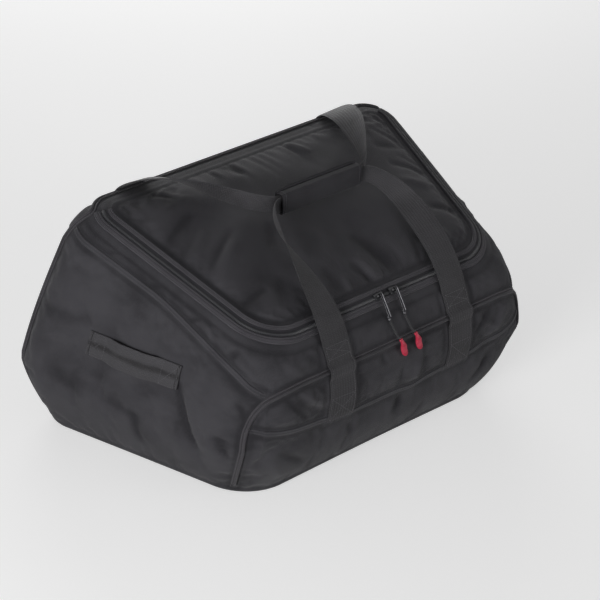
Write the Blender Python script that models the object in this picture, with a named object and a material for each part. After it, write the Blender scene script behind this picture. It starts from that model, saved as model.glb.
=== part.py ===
"""Soft travel bag that fits the nose of a car roof box.

Metres, +Z up. The front faces -Y and narrows towards the nose, +X runs along the front, and the
origin lies on the floor under the middle of the bag. The shell is a loft through four rings. A place
on it is (around, up): around is 0 at the front left corner, 1 at the front right, 2 at the rear right
and 3 at the rear left; up is 0 at the base, 1 at the lower seam, 2 at the shoulder seam and 3 at the
middle of the zip.
"""

import math
from collections import namedtuple

import bmesh
import bpy
import numpy as np
from mathutils import Vector
from mathutils.bvhtree import BVHTree

# Plan and heights of the shell. MIDDLE_Y centres the finished bag over the origin
DEPTH = 0.430
MIDDLE_Y = -0.0140
FRONT_HALF = 0.272
REAR_HALF = 0.380
SEAM_FRONT_Z = 0.118
SEAM_REAR_Z = 0.110
SHOULDER_FRONT_Z = 0.203
SHOULDER_REAR_Z = 0.318
ZIP_FRONT_Z = 0.262
ZIP_REAR_Z = 0.362
BASE_Z = 0.014
BASE_EDGE = 0.018

# How far each ring lies inside the lower seam's ring
BASE_TUCK_FRONT = 0.040
BASE_TUCK_REAR = 0.014
BASE_TUCK_SIDE = 0.016
SHOULDER_TUCK_FRONT = 0.004
SHOULDER_TUCK_REAR = 0.028
SHOULDER_TUCK_SIDE_FRONT = 0.008
SHOULDER_TUCK_SIDE_REAR = 0.034
ZIP_TUCK_FRONT = 0.044
ZIP_TUCK_REAR = 0.062
ZIP_TUCK_SIDE_FRONT = 0.040
ZIP_TUCK_SIDE_REAR = 0.086
SEAM_FRONT_RADIUS = 0.085
SHOULDER_FRONT_RADIUS = 0.062
ZIP_FRONT_RADIUS = 0.070
REAR_RADIUS = 0.046
ZIP_REAR_RADIUS = 0.034

# How far the stuffed panels swell, and how deep their folds are
SWELL_SIDE = 0.016
SWELL_REAR = 0.020
SWELL_LOW_FRONT = 0.008
SWELL_FRONT = 0.007
SWELL_BAND = 0.005
LID_CROWN = 0.030
FOLD_DEPTH = 0.005
PANEL_RISE = 0.090
FACING_HALF = 0.42
FACING_FADE = 0.14

# Zip: half widths across it, and heights above the shell
ZIP_SEAT_HALF = 0.0125
ZIP_SEAT_LEAN = math.radians(25)
ZIP_END_SHORT = 0.016
CHAIN_HALF = 0.0034
CHAIN_HEIGHT = 0.0028
TAPE_THICKNESS = 0.0008
WELT_WIDTH = 0.0050
WELT_HEIGHT = 0.0022

# Slider and its pull
SLIDER_X = 0.0155
SLIDER_LENGTH = 0.0170
SLIDER_NOSE_HALF = 0.0064
SLIDER_TAIL_HALF = 0.0052
SLIDER_PLATE = 0.0018
BAIL_WIDTH = 0.0024
BAIL_WIRE = 0.0016
BAIL_RISE = 0.0044
BAIL_LENGTH = 0.0115
TAB_WIDTH = 0.0050
TAB_SHEET = 0.0011
TAB_EYE_RADIUS = 0.0019
TAB_EYE_GAP = 0.3
TAB_REACH = 0.040
SOCKET_LENGTH = 0.009
SOCKET_RADIUS = 0.0026
CORD_DIAMETER = 0.0028
CORD_LENGTH = 0.0325
PULL_LEAN = math.radians(20)
PULL_LEAN_BEND = 0.012
PULL_GRIP_LENGTH = 0.033
PULL_GRIP_HALF = 0.0052
PULL_GRIP_THICKNESS = 0.0064
PULL_CLEARANCE = 0.0010
PULL_UPS = (2.98, 1.10)

# Piping, webbing and the carrying sleeve
PIPING_RADIUS = 0.0024
PIPING_CORNER_BACK = 0.055
PIPING_CORNER_RUN = 0.15
PIPING_START_UP = 0.04
PIPING_BEND_UP = 1.1
PIPING_REAR_UP = 2.94
PIPING_TOP = 0.0035
PIPING_RISE = 0.0160
WEBBING_WIDTH = 0.050
WEBBING_THICKNESS = 0.0020
FRONT_STRAP_X = 0.123
REAR_STRAP_X = 0.205
STRAP_SEWN_TO = 2.62
STRAP_LIFT = 0.022
FRONT_STRAP_RISE = 0.40
REAR_STRAP_RISE = 0.33
STRAP_LEVEL_END = 0.22
FOLDED_WIDTH = 0.026
FOLDED_THICKNESS = 0.0042
SLEEVE_HALF = 0.082
SLEEVE_SHEET = 0.0028
SLEEVE_OVERLAP = 1.1
SLEEVE_ROOM = 0.0016
SLEEVE_SQUARENESS = 0.42
SLEEVE_FORWARD = 0.012
HAND_ROOM = 0.018

# Grab handle on each end panel
GRAB_LENGTH = 0.175
GRAB_WIDTH = 0.038
GRAB_THICKNESS = 0.0032
GRAB_Z = 0.186
GRAB_AROUND = 3.46
GRAB_SEWN = 0.032
GRAB_BOW = 0.0075
GRAB_STEEPNESS = 1.6

# Clearance between pieces, and the part of it kept where a sewn-on piece would meet the shell
GAP = 0.0004
KEPT_GAP = 0.00036

Level = namedtuple(
    "Level", "front_y rear_y front_half rear_half front_z rear_z front_radius rear_radius"
)
# One fold: its two ends, its width in metres and its depth as a share of FOLD_DEPTH
Fold = namedtuple("Fold", "start end width depth")

FRONT_Y = MIDDLE_Y + 0.5 * (SWELL_REAR - SWELL_FRONT) - DEPTH / 2
REAR_Y = FRONT_Y + DEPTH

BASE = Level(
    FRONT_Y + BASE_TUCK_FRONT, REAR_Y - BASE_TUCK_REAR, FRONT_HALF - BASE_TUCK_SIDE,
    REAR_HALF - BASE_TUCK_SIDE, BASE_Z, BASE_Z, SEAM_FRONT_RADIUS, REAR_RADIUS,
)
LOWER_SEAM = Level(
    FRONT_Y, REAR_Y, FRONT_HALF, REAR_HALF, SEAM_FRONT_Z, SEAM_REAR_Z,
    SEAM_FRONT_RADIUS, REAR_RADIUS,
)
SHOULDER = Level(
    FRONT_Y + SHOULDER_TUCK_FRONT, REAR_Y - SHOULDER_TUCK_REAR,
    FRONT_HALF - SHOULDER_TUCK_SIDE_FRONT, REAR_HALF - SHOULDER_TUCK_SIDE_REAR,
    SHOULDER_FRONT_Z, SHOULDER_REAR_Z, SHOULDER_FRONT_RADIUS, REAR_RADIUS,
)
ZIP_LINE = Level(
    FRONT_Y + ZIP_TUCK_FRONT, REAR_Y - ZIP_TUCK_REAR, FRONT_HALF - ZIP_TUCK_SIDE_FRONT,
    REAR_HALF - ZIP_TUCK_SIDE_REAR, ZIP_FRONT_Z, ZIP_REAR_Z, ZIP_FRONT_RADIUS, ZIP_REAR_RADIUS,
)

# Folds in the side panels, in (around, up), and in the lid, in (x, y)
SIDE_FOLDS = (
    Fold((3.67, 1.45), (3.77, 0.80), 0.018, -1.1),
    Fold((3.80, 1.30), (3.86, 0.80), 0.022, 0.7),
    Fold((3.10, 1.30), (3.34, 1.22), 0.016, -0.6),
    Fold((3.92, 1.75), (3.98, 1.10), 0.018, -0.7),
    Fold((0.11, 1.80), (0.19, 1.35), 0.016, -0.9),
    Fold((0.31, 1.75), (0.31, 1.20), 0.018, 0.8),
    Fold((0.56, 1.65), (0.55, 1.10), 0.018, 0.9),
    Fold((0.86, 1.20), (0.80, 1.80), 0.018, -0.8),
    Fold((1.12, 1.10), (1.16, 1.70), 0.022, 0.9),
    Fold((1.72, 0.30), (1.66, 1.10), 0.024, -0.9),
    Fold((2.30, 0.80), (2.36, 1.60), 0.026, 0.9),
    Fold((2.72, 0.40), (2.66, 1.40), 0.024, -0.8),
)
LID_FOLDS = (
    Fold((-0.225, -0.055), (-0.125, -0.010), 0.026, 1.0),
    Fold((-0.215, 0.010), (-0.090, 0.055), 0.028, -0.9),
    Fold((-0.220, -0.110), (-0.150, -0.095), 0.022, -0.9),
    Fold((-0.110, -0.125), (-0.050, -0.080), 0.024, 0.8),
    Fold((0.040, -0.140), (0.020, -0.080), 0.024, -1.0),
    Fold((0.110, -0.060), (0.210, -0.020), 0.026, 0.9),
    Fold((0.070, 0.060), (0.180, 0.100), 0.028, -0.9),
)

CORNER_SHARE = 0.16
CORNER_STEPS = 4
STRAIGHT_STEPS = 13
ARC_POINTS = 48
LID_MARGIN = 0.30
LID_STEPS = (0, 0.06, 0.14, 0.24, 0.36, 0.5, 0.65, 0.8, 0.93)
SEAT_SEARCH = 0.03
WEBBING_POINTS = 5

# The bag body's faces, in which other pieces find their seats
BODY_FACES = []


def smooth(share):
    """Rises from 0 to 1 with level ends."""
    share = np.clip(share, 0, 1)
    return share * share * (3 - 2 * share)


def unit(vectors):
    return vectors / np.linalg.norm(vectors, axis=-1, keepdims=True)


def corner_arc(before, corner, after, radius):
    """Arc of the given radius that rounds a corner, from the side before it to the side after."""
    back, on = unit(before - corner), unit(after - corner)
    half_angle = math.acos(float(np.clip(back @ on, -1, 1))) / 2
    centre = corner + unit(back + on) * radius / math.sin(half_angle)
    start = corner + back * radius / math.tan(half_angle) - centre
    turn = math.pi - 2 * half_angle
    angle = math.atan2(start[1], start[0]) + np.linspace(0, turn, ARC_POINTS + 1)
    return centre + radius * np.stack([np.cos(angle), np.sin(angle)], axis=1)


def ring_sides(level):
    """The four sides of a rounded trapezoid in plan, each from mid corner to mid corner."""
    corners = np.array([
        (-level.front_half, level.front_y), (level.front_half, level.front_y),
        (level.rear_half, level.rear_y), (-level.rear_half, level.rear_y),
    ])
    radii = (level.front_radius, level.front_radius, level.rear_radius, level.rear_radius)
    arcs = [
        corner_arc(corners[i - 1], corners[i], corners[(i + 1) % 4], radii[i]) for i in range(4)
    ]
    middle = ARC_POINTS // 2
    return [
        np.concatenate([arcs[i][middle:], arcs[(i + 1) % 4][: middle + 1]]) for i in range(4)
    ]


SIDES = {level: ring_sides(level) for level in (BASE, LOWER_SEAM, SHOULDER, ZIP_LINE)}


def ring_point(level, around):
    """Points of a level, spaced along each side by the share of its length."""
    around = np.asarray(around, float) % 4
    side_of = np.minimum(around.astype(int), 3)
    plan = np.zeros(around.shape + (2,))
    for index, side in enumerate(SIDES[level]):
        steps = np.linalg.norm(np.diff(side, axis=0), axis=1)
        run = np.concatenate([[0], np.cumsum(steps)]) / steps.sum()
        here = side_of == index
        for axis in range(2):
            plan[..., axis][here] = np.interp(around[here] - index, run, side[:, axis])
    share = (plan[..., 1] - level.front_y) / (level.rear_y - level.front_y)
    height = level.front_z + (level.rear_z - level.front_z) * share
    return np.concatenate([plan, height[..., None]], axis=-1)


def zip_frame(around):
    """Middle of the zip, its run, the direction across it towards the lid, and its outward normal."""
    around = np.asarray(around, float)
    step = 0.004
    middle = ring_point(ZIP_LINE, around)
    run = unit(ring_point(ZIP_LINE, around + step) - ring_point(ZIP_LINE, around - step))
    slope = math.atan2(ZIP_REAR_Z - ZIP_FRONT_Z, ZIP_LINE.rear_y - ZIP_LINE.front_y)
    lid_normal = np.array([0, -math.sin(slope), math.cos(slope)])
    outward = unit(np.cross(run, lid_normal))
    normal = math.cos(ZIP_SEAT_LEAN) * lid_normal + math.sin(ZIP_SEAT_LEAN) * outward
    return middle, run, unit(np.cross(normal, run)), normal


def zip_place(around, across, height):
    """Point at a distance across the zip, towards the lid, and a height above its seat."""
    middle, _, inward, normal = zip_frame(around)
    return middle + inward * np.asarray(across)[..., None] + normal * np.asarray(height)[..., None]


def flat_panel(around, up):
    """The shell with no swelling: straight from ring to ring, the last at the zip's lower edge."""
    around, up = np.broadcast_arrays(np.asarray(around, float), np.asarray(up, float))
    rings = [ring_point(level, around) for level in (BASE, LOWER_SEAM, SHOULDER)]
    rings.append(zip_place(around, np.full(around.shape, -ZIP_SEAT_HALF), np.zeros(around.shape)))
    rings = np.stack(rings)
    below = np.clip(np.floor(up).astype(int), 0, 2)
    low = np.take_along_axis(rings, below[None, ..., None], axis=0)[0]
    high = np.take_along_axis(rings, below[None, ..., None] + 1, axis=0)[0]
    return low + (high - low) * (up - below)[..., None]


def facing(around, side):
    """1 on the panel of that side (0.5 front, 2.5 rear), falling to 0 just before its corners."""
    distance = np.abs((around - side + 2) % 4 - 2)
    return 1 - smooth((distance - FACING_HALF) / FACING_FADE)


def fold_height(places, folds, scale):
    """Sum of ridges: each fades with the square of the distance from the line between its ends."""
    total = np.zeros(places.shape[:-1])
    for fold in folds:
        start, end = np.array(fold.start) * scale, np.array(fold.end) * scale
        along = end - start
        offset = places * scale - start
        share = np.clip(offset @ along / (along @ along), 0, 1)
        distance = np.linalg.norm(offset - share[..., None] * along, axis=-1)
        total += fold.depth * FOLD_DEPTH * np.exp(-((distance / fold.width) ** 2))
    return total


def swelling(around, up):
    """How far the filling pushes a panel out: nothing at a seam and most half way between two."""
    below_shoulder = np.clip(up, 0, 2)
    side = (SWELL_SIDE + (SWELL_REAR - SWELL_SIDE) * facing(around, 2.5)) * np.sin(
        math.pi * below_shoulder / 2
    )
    front = np.where(
        up < 1,
        SWELL_LOW_FRONT * np.sin(math.pi * np.clip(up, 0, 1)),
        SWELL_FRONT * np.sin(math.pi * np.clip(up - 1, 0, 1)),
    )
    in_front = facing(around, 0.5)
    band = SWELL_BAND * np.sin(math.pi * np.clip(up - 2, 0, 1))
    folds = fold_height(np.stack([around % 4, up], axis=-1), SIDE_FOLDS, (DEPTH, PANEL_RISE))
    at_seam = np.sin(math.pi * np.clip(up, 0, 2) / 2) ** 2
    return (1 - in_front) * side + in_front * front + band + folds * at_seam


def shell_point(around, up):
    """Point of the swollen shell and its outward normal."""
    around, up = np.broadcast_arrays(np.asarray(around, float), np.asarray(up, float))
    step = 0.01
    inside = np.clip(up, step, 3 - step)

    def swollen(here, there):
        here_run = flat_panel(here + step, there) - flat_panel(here - step, there)
        level = np.clip(there, step, 3 - step)
        here_rise = flat_panel(here, level + step) - flat_panel(here, level - step)
        return flat_panel(here, there) + unit(np.cross(here_run, here_rise)) * swelling(
            here, there
        )[..., None]

    run = swollen(around + step, up) - swollen(around - step, up)
    rise = swollen(around, inside + step) - swollen(around, inside - step)
    return swollen(around, up), unit(np.cross(run, rise))


def lifted(around, up, height):
    """Point at a height above the faces of the finished bag body."""
    point, normal = shell_point(around, up)
    seat = []
    for place, outward in zip(point, normal):
        hit = BODY_FACES[0].ray_cast(Vector(place + outward * SEAT_SEARCH), Vector(-outward))[0]
        seat.append(place if hit is None else np.array(hit))
    return np.array(seat) + normal * np.asarray(height)[..., None]


def lid_point(around, inwards):
    """Point of the lid, from 0 at the zip's upper edge to 1 at its middle: a crown with folds."""
    around, inwards = np.broadcast_arrays(np.asarray(around, float), np.asarray(inwards, float))
    edge = zip_place(around, np.full(around.shape, ZIP_SEAT_HALF), np.zeros(around.shape))
    middle = np.array([0, (ZIP_LINE.front_y + ZIP_LINE.rear_y) / 2, 0])
    middle[2] = (ZIP_FRONT_Z + ZIP_REAR_Z) / 2
    point = edge + (middle - edge) * inwards[..., None]
    crown = LID_CROWN * (1 - (1 - inwards) ** 2)
    crown += fold_height(point[..., :2], LID_FOLDS, (1, 1)) * smooth(inwards / LID_MARGIN)
    point[..., 2] += crown
    return point


def front_around(x, up):
    """Where the front panel's ring at that height reaches x."""
    table = np.linspace(0.02, 0.98, 160)
    return float(np.interp(x, flat_panel(table, np.full(table.shape, up))[:, 0], table))


def rear_around(x, up):
    table = np.linspace(2.02, 2.98, 160)
    return float(np.interp(-x, -flat_panel(table, np.full(table.shape, up))[:, 0], table))


def level_up(around, height):
    """The share between the lower seam and the shoulder that lies at a height."""
    low = ring_point(LOWER_SEAM, around)[..., 2]
    high = ring_point(SHOULDER, around)[..., 2]
    return 1 + (height - low) / (high - low)


def column_shares():
    """Places along one side: close together round the two half corners, wider between."""
    corner = np.linspace(0, CORNER_SHARE, CORNER_STEPS + 1)
    straight = np.linspace(CORNER_SHARE, 1 - CORNER_SHARE, STRAIGHT_STEPS + 1)[1:-1]
    return np.concatenate([corner, straight, 1 - corner[::-1]])


SHARES = column_shares()


def material(name, colour, roughness, metallic=0.0):
    shader = bpy.data.materials.new(name)
    shader.use_nodes = True
    values = shader.node_tree.nodes["Principled BSDF"].inputs
    values["Base Color"].default_value = (*colour, 1)
    values["Roughness"].default_value = roughness
    values["Metallic"].default_value = metallic
    return shader


def skin(name, loops, finish):
    """Closed body through loops of as many points each, with a cap on the first and the last."""
    stations, points = loops.shape[:2]
    mesh = bmesh.new()
    rows = [[mesh.verts.new(point) for point in loop] for loop in loops]
    for low, high in zip(rows, rows[1:]):
        for i in range(points):
            j = (i + 1) % points
            mesh.faces.new((low[i], low[j], high[j], high[i]))
    mesh.faces.new(rows[0][::-1])
    mesh.faces.new(rows[-1])
    return finish_object(name, mesh, finish)


def finish_object(name, mesh, finish):
    bmesh.ops.recalc_face_normals(mesh, faces=mesh.faces)
    if mesh.calc_volume(signed=True) < 0:
        bmesh.ops.reverse_faces(mesh, faces=mesh.faces)
    data = bpy.data.meshes.new(name)
    mesh.to_mesh(data)
    mesh.free()
    data.materials.append(finish)
    data.shade_smooth()
    data.set_sharp_from_angle(angle=math.radians(35))
    piece = bpy.data.objects.new(name, data)
    bpy.context.scene.collection.objects.link(piece)
    return piece


def swept(name, centre, side, normal, profile, finish):
    """A profile of (side, normal) distances carried along a path."""
    profile = np.asarray(profile, float)
    sideways = side[:, None] * profile[None, :, :1]
    outwards = normal[:, None] * profile[None, :, 1:]
    return skin(name, centre[:, None] + sideways + outwards, finish)


def place_on_joint(piece, point):
    """Moves a piece's origin to its joint and leaves its shape where it is."""
    for vertex in piece.data.vertices:
        vertex.co -= Vector(point)
    piece.location = Vector(point)


def shell_clearance(body):
    """Guide that cuts what lies on the shell: the shell's own faces, moved out by the kept gap."""
    data = body.data.copy()
    normals = [vertex.normal.copy() for vertex in data.vertices]
    for vertex, normal in zip(data.vertices, normals):
        vertex.co += normal * KEPT_GAP
    guide = bpy.data.objects.new("shell_clearance", data)
    bpy.context.scene.collection.objects.link(guide)
    guide.hide_render = True
    guide.display_type = "WIRE"


def laid_on_shell(piece):
    """Leaves the gap between a sewn-on piece and the shell wherever their faces would meet."""
    cut = piece.modifiers.new("clear_of_shell", "BOOLEAN")
    cut.operation = "DIFFERENCE"
    cut.object = bpy.data.objects["shell_clearance"]
    return piece


def bag_body(cloth):
    around = np.concatenate([SHARES[:-1] + side for side in range(4)])
    base = ring_point(BASE, around)
    centre = base.mean(axis=0)
    floor = base + unit((centre - base) * (1, 1, 0)) * BASE_EDGE
    floor[:, 2] = 0
    ups = np.concatenate([
        np.linspace(0, 1, 5)[:-1], np.linspace(1, 2, 6)[:-1], np.linspace(2, 3, 4),
    ])
    loops = [floor] + [shell_point(around, up)[0] for up in ups]
    loops += [lid_point(around, inwards) for inwards in LID_STEPS]
    body = skin("bag_body", np.array(loops), cloth)
    mesh = bmesh.new()
    mesh.from_mesh(body.data)
    bmesh.ops.triangulate(mesh, faces=mesh.faces)
    BODY_FACES.append(BVHTree.FromBMesh(mesh))
    mesh.free()
    shell_clearance(body)
    return body


def zip_run():
    """Places along the zip: up the left side, round the front and down the right side."""
    start, end = 3 + ZIP_END_SHORT, 6 - ZIP_END_SHORT
    around = np.concatenate([SHARES[:-1] + 3, SHARES[:-1] + 4, SHARES + 5])
    return np.concatenate([[start], around[(around > start) & (around < end)], [end]])


def zip_parts(tape, coil, cloth):
    centre, _, inward, normal = zip_frame(zip_run())
    tape_top = GAP + TAPE_THICKNESS
    chain_side = CHAIN_HALF + GAP
    for edge, side in (("lid", 1), ("band", -1)):
        strip = [
            (side * chain_side, GAP), (side * ZIP_SEAT_HALF, GAP),
            (side * ZIP_SEAT_HALF, tape_top), (side * chain_side, tape_top),
        ]
        swept("zip_tape_" + edge, centre, inward, normal, strip, tape)
        inner = ZIP_SEAT_HALF - WELT_WIDTH
        low = tape_top + GAP
        welt = [
            (side * inner, low), (side * ZIP_SEAT_HALF, low),
            (side * (ZIP_SEAT_HALF - 0.1 * WELT_WIDTH), low + 0.7 * WELT_HEIGHT),
            (side * (ZIP_SEAT_HALF - 0.5 * WELT_WIDTH), low + WELT_HEIGHT),
            (side * (inner + 0.1 * WELT_WIDTH), low + 0.7 * WELT_HEIGHT),
        ]
        swept(edge + "_welt", centre, inward, normal, welt, cloth)
    ridge = [
        (-CHAIN_HALF, GAP), (CHAIN_HALF, GAP), (CHAIN_HALF, GAP + 0.45 * CHAIN_HEIGHT),
        (0.5 * CHAIN_HALF, GAP + CHAIN_HEIGHT), (-0.5 * CHAIN_HALF, GAP + CHAIN_HEIGHT),
        (-CHAIN_HALF, GAP + 0.45 * CHAIN_HEIGHT),
    ]
    swept("zip_chain", centre, inward, normal, ridge, coil)


def piping_path(corner, turn):
    """Up a corner of a panel, rounded over into its shoulder seam: (around, up) pairs."""
    start = corner - turn * PIPING_CORNER_BACK
    rise = [(start, up) for up in np.linspace(PIPING_START_UP, PIPING_BEND_UP, 6)]
    angles = np.linspace(0, math.pi / 2, 9)[1:]
    around = start + turn * PIPING_CORNER_RUN * (1 - np.cos(angles))
    up = PIPING_BEND_UP + (2 - PIPING_BEND_UP) * np.sin(angles)
    return rise + list(zip(around, up))


def piping(name, places, finish):
    """Covered cord laid along places on the shell."""
    around, up = np.array(places).T
    centre = lifted(around, up, np.full(around.shape, PIPING_RADIUS + GAP))
    normal = shell_point(around, up)[1]
    run = unit(np.gradient(centre, axis=0))
    side = unit(np.cross(normal, run))
    angles = np.arange(6) * math.tau / 6
    circle = PIPING_RADIUS * np.stack([np.cos(angles), np.sin(angles)], axis=1)
    return laid_on_shell(swept(name, centre, side, np.cross(run, side), circle, finish))


def front_piping(finish):
    left = piping_path(0.0, 1)
    last = left[-1][0]
    across = [(around, 2.0) for around in SHARES if last < around < 1 - last]
    right = [(1 - around, up) for around, up in left[::-1]]
    return piping("front_piping", left + across + right, finish)


def rear_piping(finish):
    """Up each rear corner to the zip's seat and straight along the rear top edge."""
    low = np.linspace(PIPING_START_UP, 1.92, 12)
    ups = np.concatenate([low, np.linspace(2.2, PIPING_REAR_UP - 0.04, 4)])
    right = [(2.0, up) for up in ups]
    across = [(2 + share, PIPING_REAR_UP) for share in SHARES[1:-1]]
    left = [(3.0, up) for up in ups[::-1]]
    return piping("rear_piping", right + across + left, finish)


def over_piping(up):
    """Extra height with which something lies over the piping in the front shoulder seam."""
    distance = np.abs(np.asarray(up, float) - 2) * (SHOULDER_FRONT_Z - SEAM_FRONT_Z)
    near = smooth((PIPING_RISE - distance) / (PIPING_RISE - PIPING_TOP))
    return (2 * PIPING_RADIUS + GAP) * near


def sewn_webbing(x, hand, find_around, ups):
    """Loops of webbing laid on the shell at x, up the panel and over any piping."""
    offsets = np.linspace(0.5, -0.5, WEBBING_POINTS) * WEBBING_WIDTH * hand
    loops = []
    for up in ups:
        around = np.array([find_around(x + offset, up) for offset in offsets])
        place = np.full(WEBBING_POINTS, up)
        low = GAP + (over_piping(place) if find_around is front_around else 0 * place)
        under = lifted(around, place, low)
        over = lifted(around, place, low + WEBBING_THICKNESS)
        loops.append(np.concatenate([under, over[::-1]]))
    return loops


def bezier(points, count):
    share = np.linspace(0, 1, count)[:, None]
    a, b, c, d = points
    rest = 1 - share
    return rest**3 * a + 3 * rest**2 * share * b + 3 * rest * share**2 * c + share**3 * d


def free_webbing(sewn, grip_end, start_rise, first_across, last_across):
    """Loops of the free leg: a curve to the sleeve on which the webbing turns and folds double."""
    last, before = np.array(sewn[-1]), np.array(sewn[-2])
    start = last.mean(axis=0)
    rise = unit(start - before.mean(axis=0))
    outward = unit(last[WEBBING_POINTS:].mean(axis=0) - last[:WEBBING_POINTS].mean(axis=0))
    inward_x = -np.sign(grip_end[0])
    length = np.linalg.norm(grip_end - start)
    centre = bezier(
        (start, start + rise * start_rise * length + outward * STRAP_LIFT,
         grip_end - np.array([inward_x, 0, 0]) * STRAP_LEVEL_END * length, grip_end), 17,
    )
    run = unit(np.gradient(centre, axis=0))
    turn = smooth(np.linspace(0, 1, len(centre)))[:, None]
    aim = first_across * (1 - turn) + last_across * turn
    across = unit(aim - (aim * run).sum(axis=1, keepdims=True) * run)
    through = np.cross(run, across)
    through *= np.sign((through[0] * outward).sum())
    width = WEBBING_WIDTH + (FOLDED_WIDTH - WEBBING_WIDTH) * turn
    thickness = WEBBING_THICKNESS + (FOLDED_THICKNESS - WEBBING_THICKNESS) * turn
    offsets = np.linspace(-0.5, 0.5, WEBBING_POINTS)[None, :, None]
    middle = centre[:, None] + across[:, None] * width[:, None] * offsets
    half = through[:, None] * thickness[:, None] / 2
    loops = np.concatenate([middle - half, (middle + half)[:, ::-1]], axis=1)
    return list(loops[1:])


def sleeve_centre():
    """Middle of the carrying sleeve, a hand's room above the lid."""
    y = (ZIP_LINE.front_y + ZIP_LINE.rear_y) / 2 - SLEEVE_FORWARD
    lid_top = (ZIP_FRONT_Z + ZIP_REAR_Z) / 2 + LID_CROWN
    return np.array([0, y, lid_top + HAND_ROOM + FOLDED_WIDTH / 2])


def strap_leg(x, hand, find_around, side):
    """Half a carrying strap, from the lower seam to the sleeve."""
    over_seam = np.linspace(1.86, 2.14, 9)
    ups = np.concatenate([
        np.linspace(1.03, 1.80, 6), over_seam, np.linspace(2.22, STRAP_SEWN_TO, 4),
    ])
    sewn = sewn_webbing(hand * x, hand, find_around, ups)
    centre = sleeve_centre() + np.array([0, side * (FOLDED_THICKNESS + GAP) / 2, 0])
    grip_end = centre + np.array([hand * SLEEVE_HALF, 0, 0])
    start_rise = FRONT_STRAP_RISE if find_around is front_around else REAR_STRAP_RISE
    first_across, last_across = np.array([-hand, 0.0, 0]), np.array([0, 0, -1.0])
    return sewn + free_webbing(sewn, grip_end, start_rise, first_across, last_across)


def carrying_strap(name, x, find_around, side, webbing):
    """One length of webbing: up a panel, free to the sleeve, through it, and down again."""
    left = strap_leg(x, -1, find_around, side)
    right = strap_leg(x, 1, find_around, side)
    return laid_on_shell(skin(name, np.array(left + right[::-1]), webbing))


def grip_wrap(cloth):
    """A sheet wound once round both handles, its end lapped over its start."""
    centre = sleeve_centre()
    inner_y = FOLDED_THICKNESS + GAP / 2 + 3 * GAP + SLEEVE_SHEET / 2
    inner_z = FOLDED_WIDTH / 2 + SLEEVE_ROOM + SLEEVE_SHEET / 2
    angle = np.linspace(0, math.tau + SLEEVE_OVERLAP, 44)
    step_out = (SLEEVE_SHEET + GAP) * smooth((angle - math.tau + 0.9) / 0.9)
    across, upward = (
        np.sign(wave) * np.abs(wave) ** SLEEVE_SQUARENESS for wave in (np.cos(angle), np.sin(angle))
    )
    across *= inner_y + step_out
    upward *= inner_z + step_out
    middle = np.stack([np.zeros(len(angle)), across, upward], axis=1)
    run = unit(np.gradient(middle, axis=0))
    out = np.cross(run, np.array([1.0, 0, 0])) * SLEEVE_SHEET / 2
    section = centre + np.concatenate([middle - out, (middle + out)[::-1]])
    reach = np.array([SLEEVE_HALF - 0.002, 0, 0])
    return skin("grip_wrap", np.array([section - reach, section + reach]), cloth)


def grab_handle(name, hand, webbing):
    """Folded webbing on an end panel, sewn flat at both ends and bowed out for a hand between."""
    side_length = DEPTH / math.cos(math.atan2(REAR_HALF - FRONT_HALF, DEPTH))
    half = GRAB_LENGTH / 2
    along = np.linspace(-half, half, 21)
    free_share = (half - GRAB_SEWN - np.abs(along)) / (half - GRAB_SEWN)
    bow = GRAB_BOW * smooth(GRAB_STEEPNESS * free_share)
    around = GRAB_AROUND + along / side_length
    loops = []
    for place, rise in zip(around, bow):
        heights = GRAB_Z + np.linspace(-0.5, 0.5, 4) * GRAB_WIDTH
        places = np.full(4, place if hand < 0 else (1 - place) % 4)
        ups = level_up(places, heights)
        under = lifted(places, ups, np.full(4, GAP + rise))
        over = lifted(places, ups, np.full(4, GAP + rise + GRAB_THICKNESS))
        loops.append(np.concatenate([under, over[::-1]]))
    return laid_on_shell(skin(name, np.array(loops), webbing))


def slider_frame(x):
    """Seat of a slider on the zip, the direction towards the lid and the outward normal."""
    table = np.linspace(0.05, 0.95, 200)
    around = np.interp(x, ring_point(ZIP_LINE, table)[:, 0], table)
    middle, _, inward, normal = zip_frame(np.array([around]))
    return middle[0], inward[0], normal[0]


def bail_point(x):
    """Middle of the bar that a pull hangs on."""
    middle, _, normal = slider_frame(x)
    return middle + normal * (chain_top() + SLIDER_PLATE + BAIL_RISE - BAIL_WIRE / 2)


def chain_top():
    return GAP + CHAIN_HEIGHT + GAP


def zip_slider(name, x, towards, metal):
    """A cover over the chain that narrows towards its tail, with an arched bar on top."""
    middle, inward, normal = slider_frame(x)
    run = np.array([1.0, 0, 0])
    plate_low, plate_high = chain_top(), chain_top() + SLIDER_PLATE
    foot = 2 * GAP + TAPE_THICKNESS
    wall_inner = CHAIN_HALF + 2 * GAP
    loops = []
    for share in np.linspace(-0.5, 0.5, 7):
        towards_nose = 0.5 - share * towards
        half = SLIDER_TAIL_HALF + (SLIDER_NOSE_HALF - SLIDER_TAIL_HALF) * smooth(towards_nose)
        end = 1 - 0.12 * (abs(share) > 0.49)
        section = [
            (-wall_inner, foot), (-wall_inner, plate_low), (wall_inner, plate_low), (wall_inner, foot),
            (half * end, foot), (half * end, plate_low), (0.8 * half * end, plate_high),
            (-0.8 * half * end, plate_high), (-half * end, plate_low), (-half * end, foot),
        ]
        station = middle + run * share * SLIDER_LENGTH
        loops.append([station + inward * a + normal * b for a, b in section])
    cover = skin(name, np.array(loops), metal)
    arch = slider_bail(middle, inward, normal, metal)
    union = cover.modifiers.new("bail", "BOOLEAN")
    union.operation = "UNION"
    union.object = arch
    return cover


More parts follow.
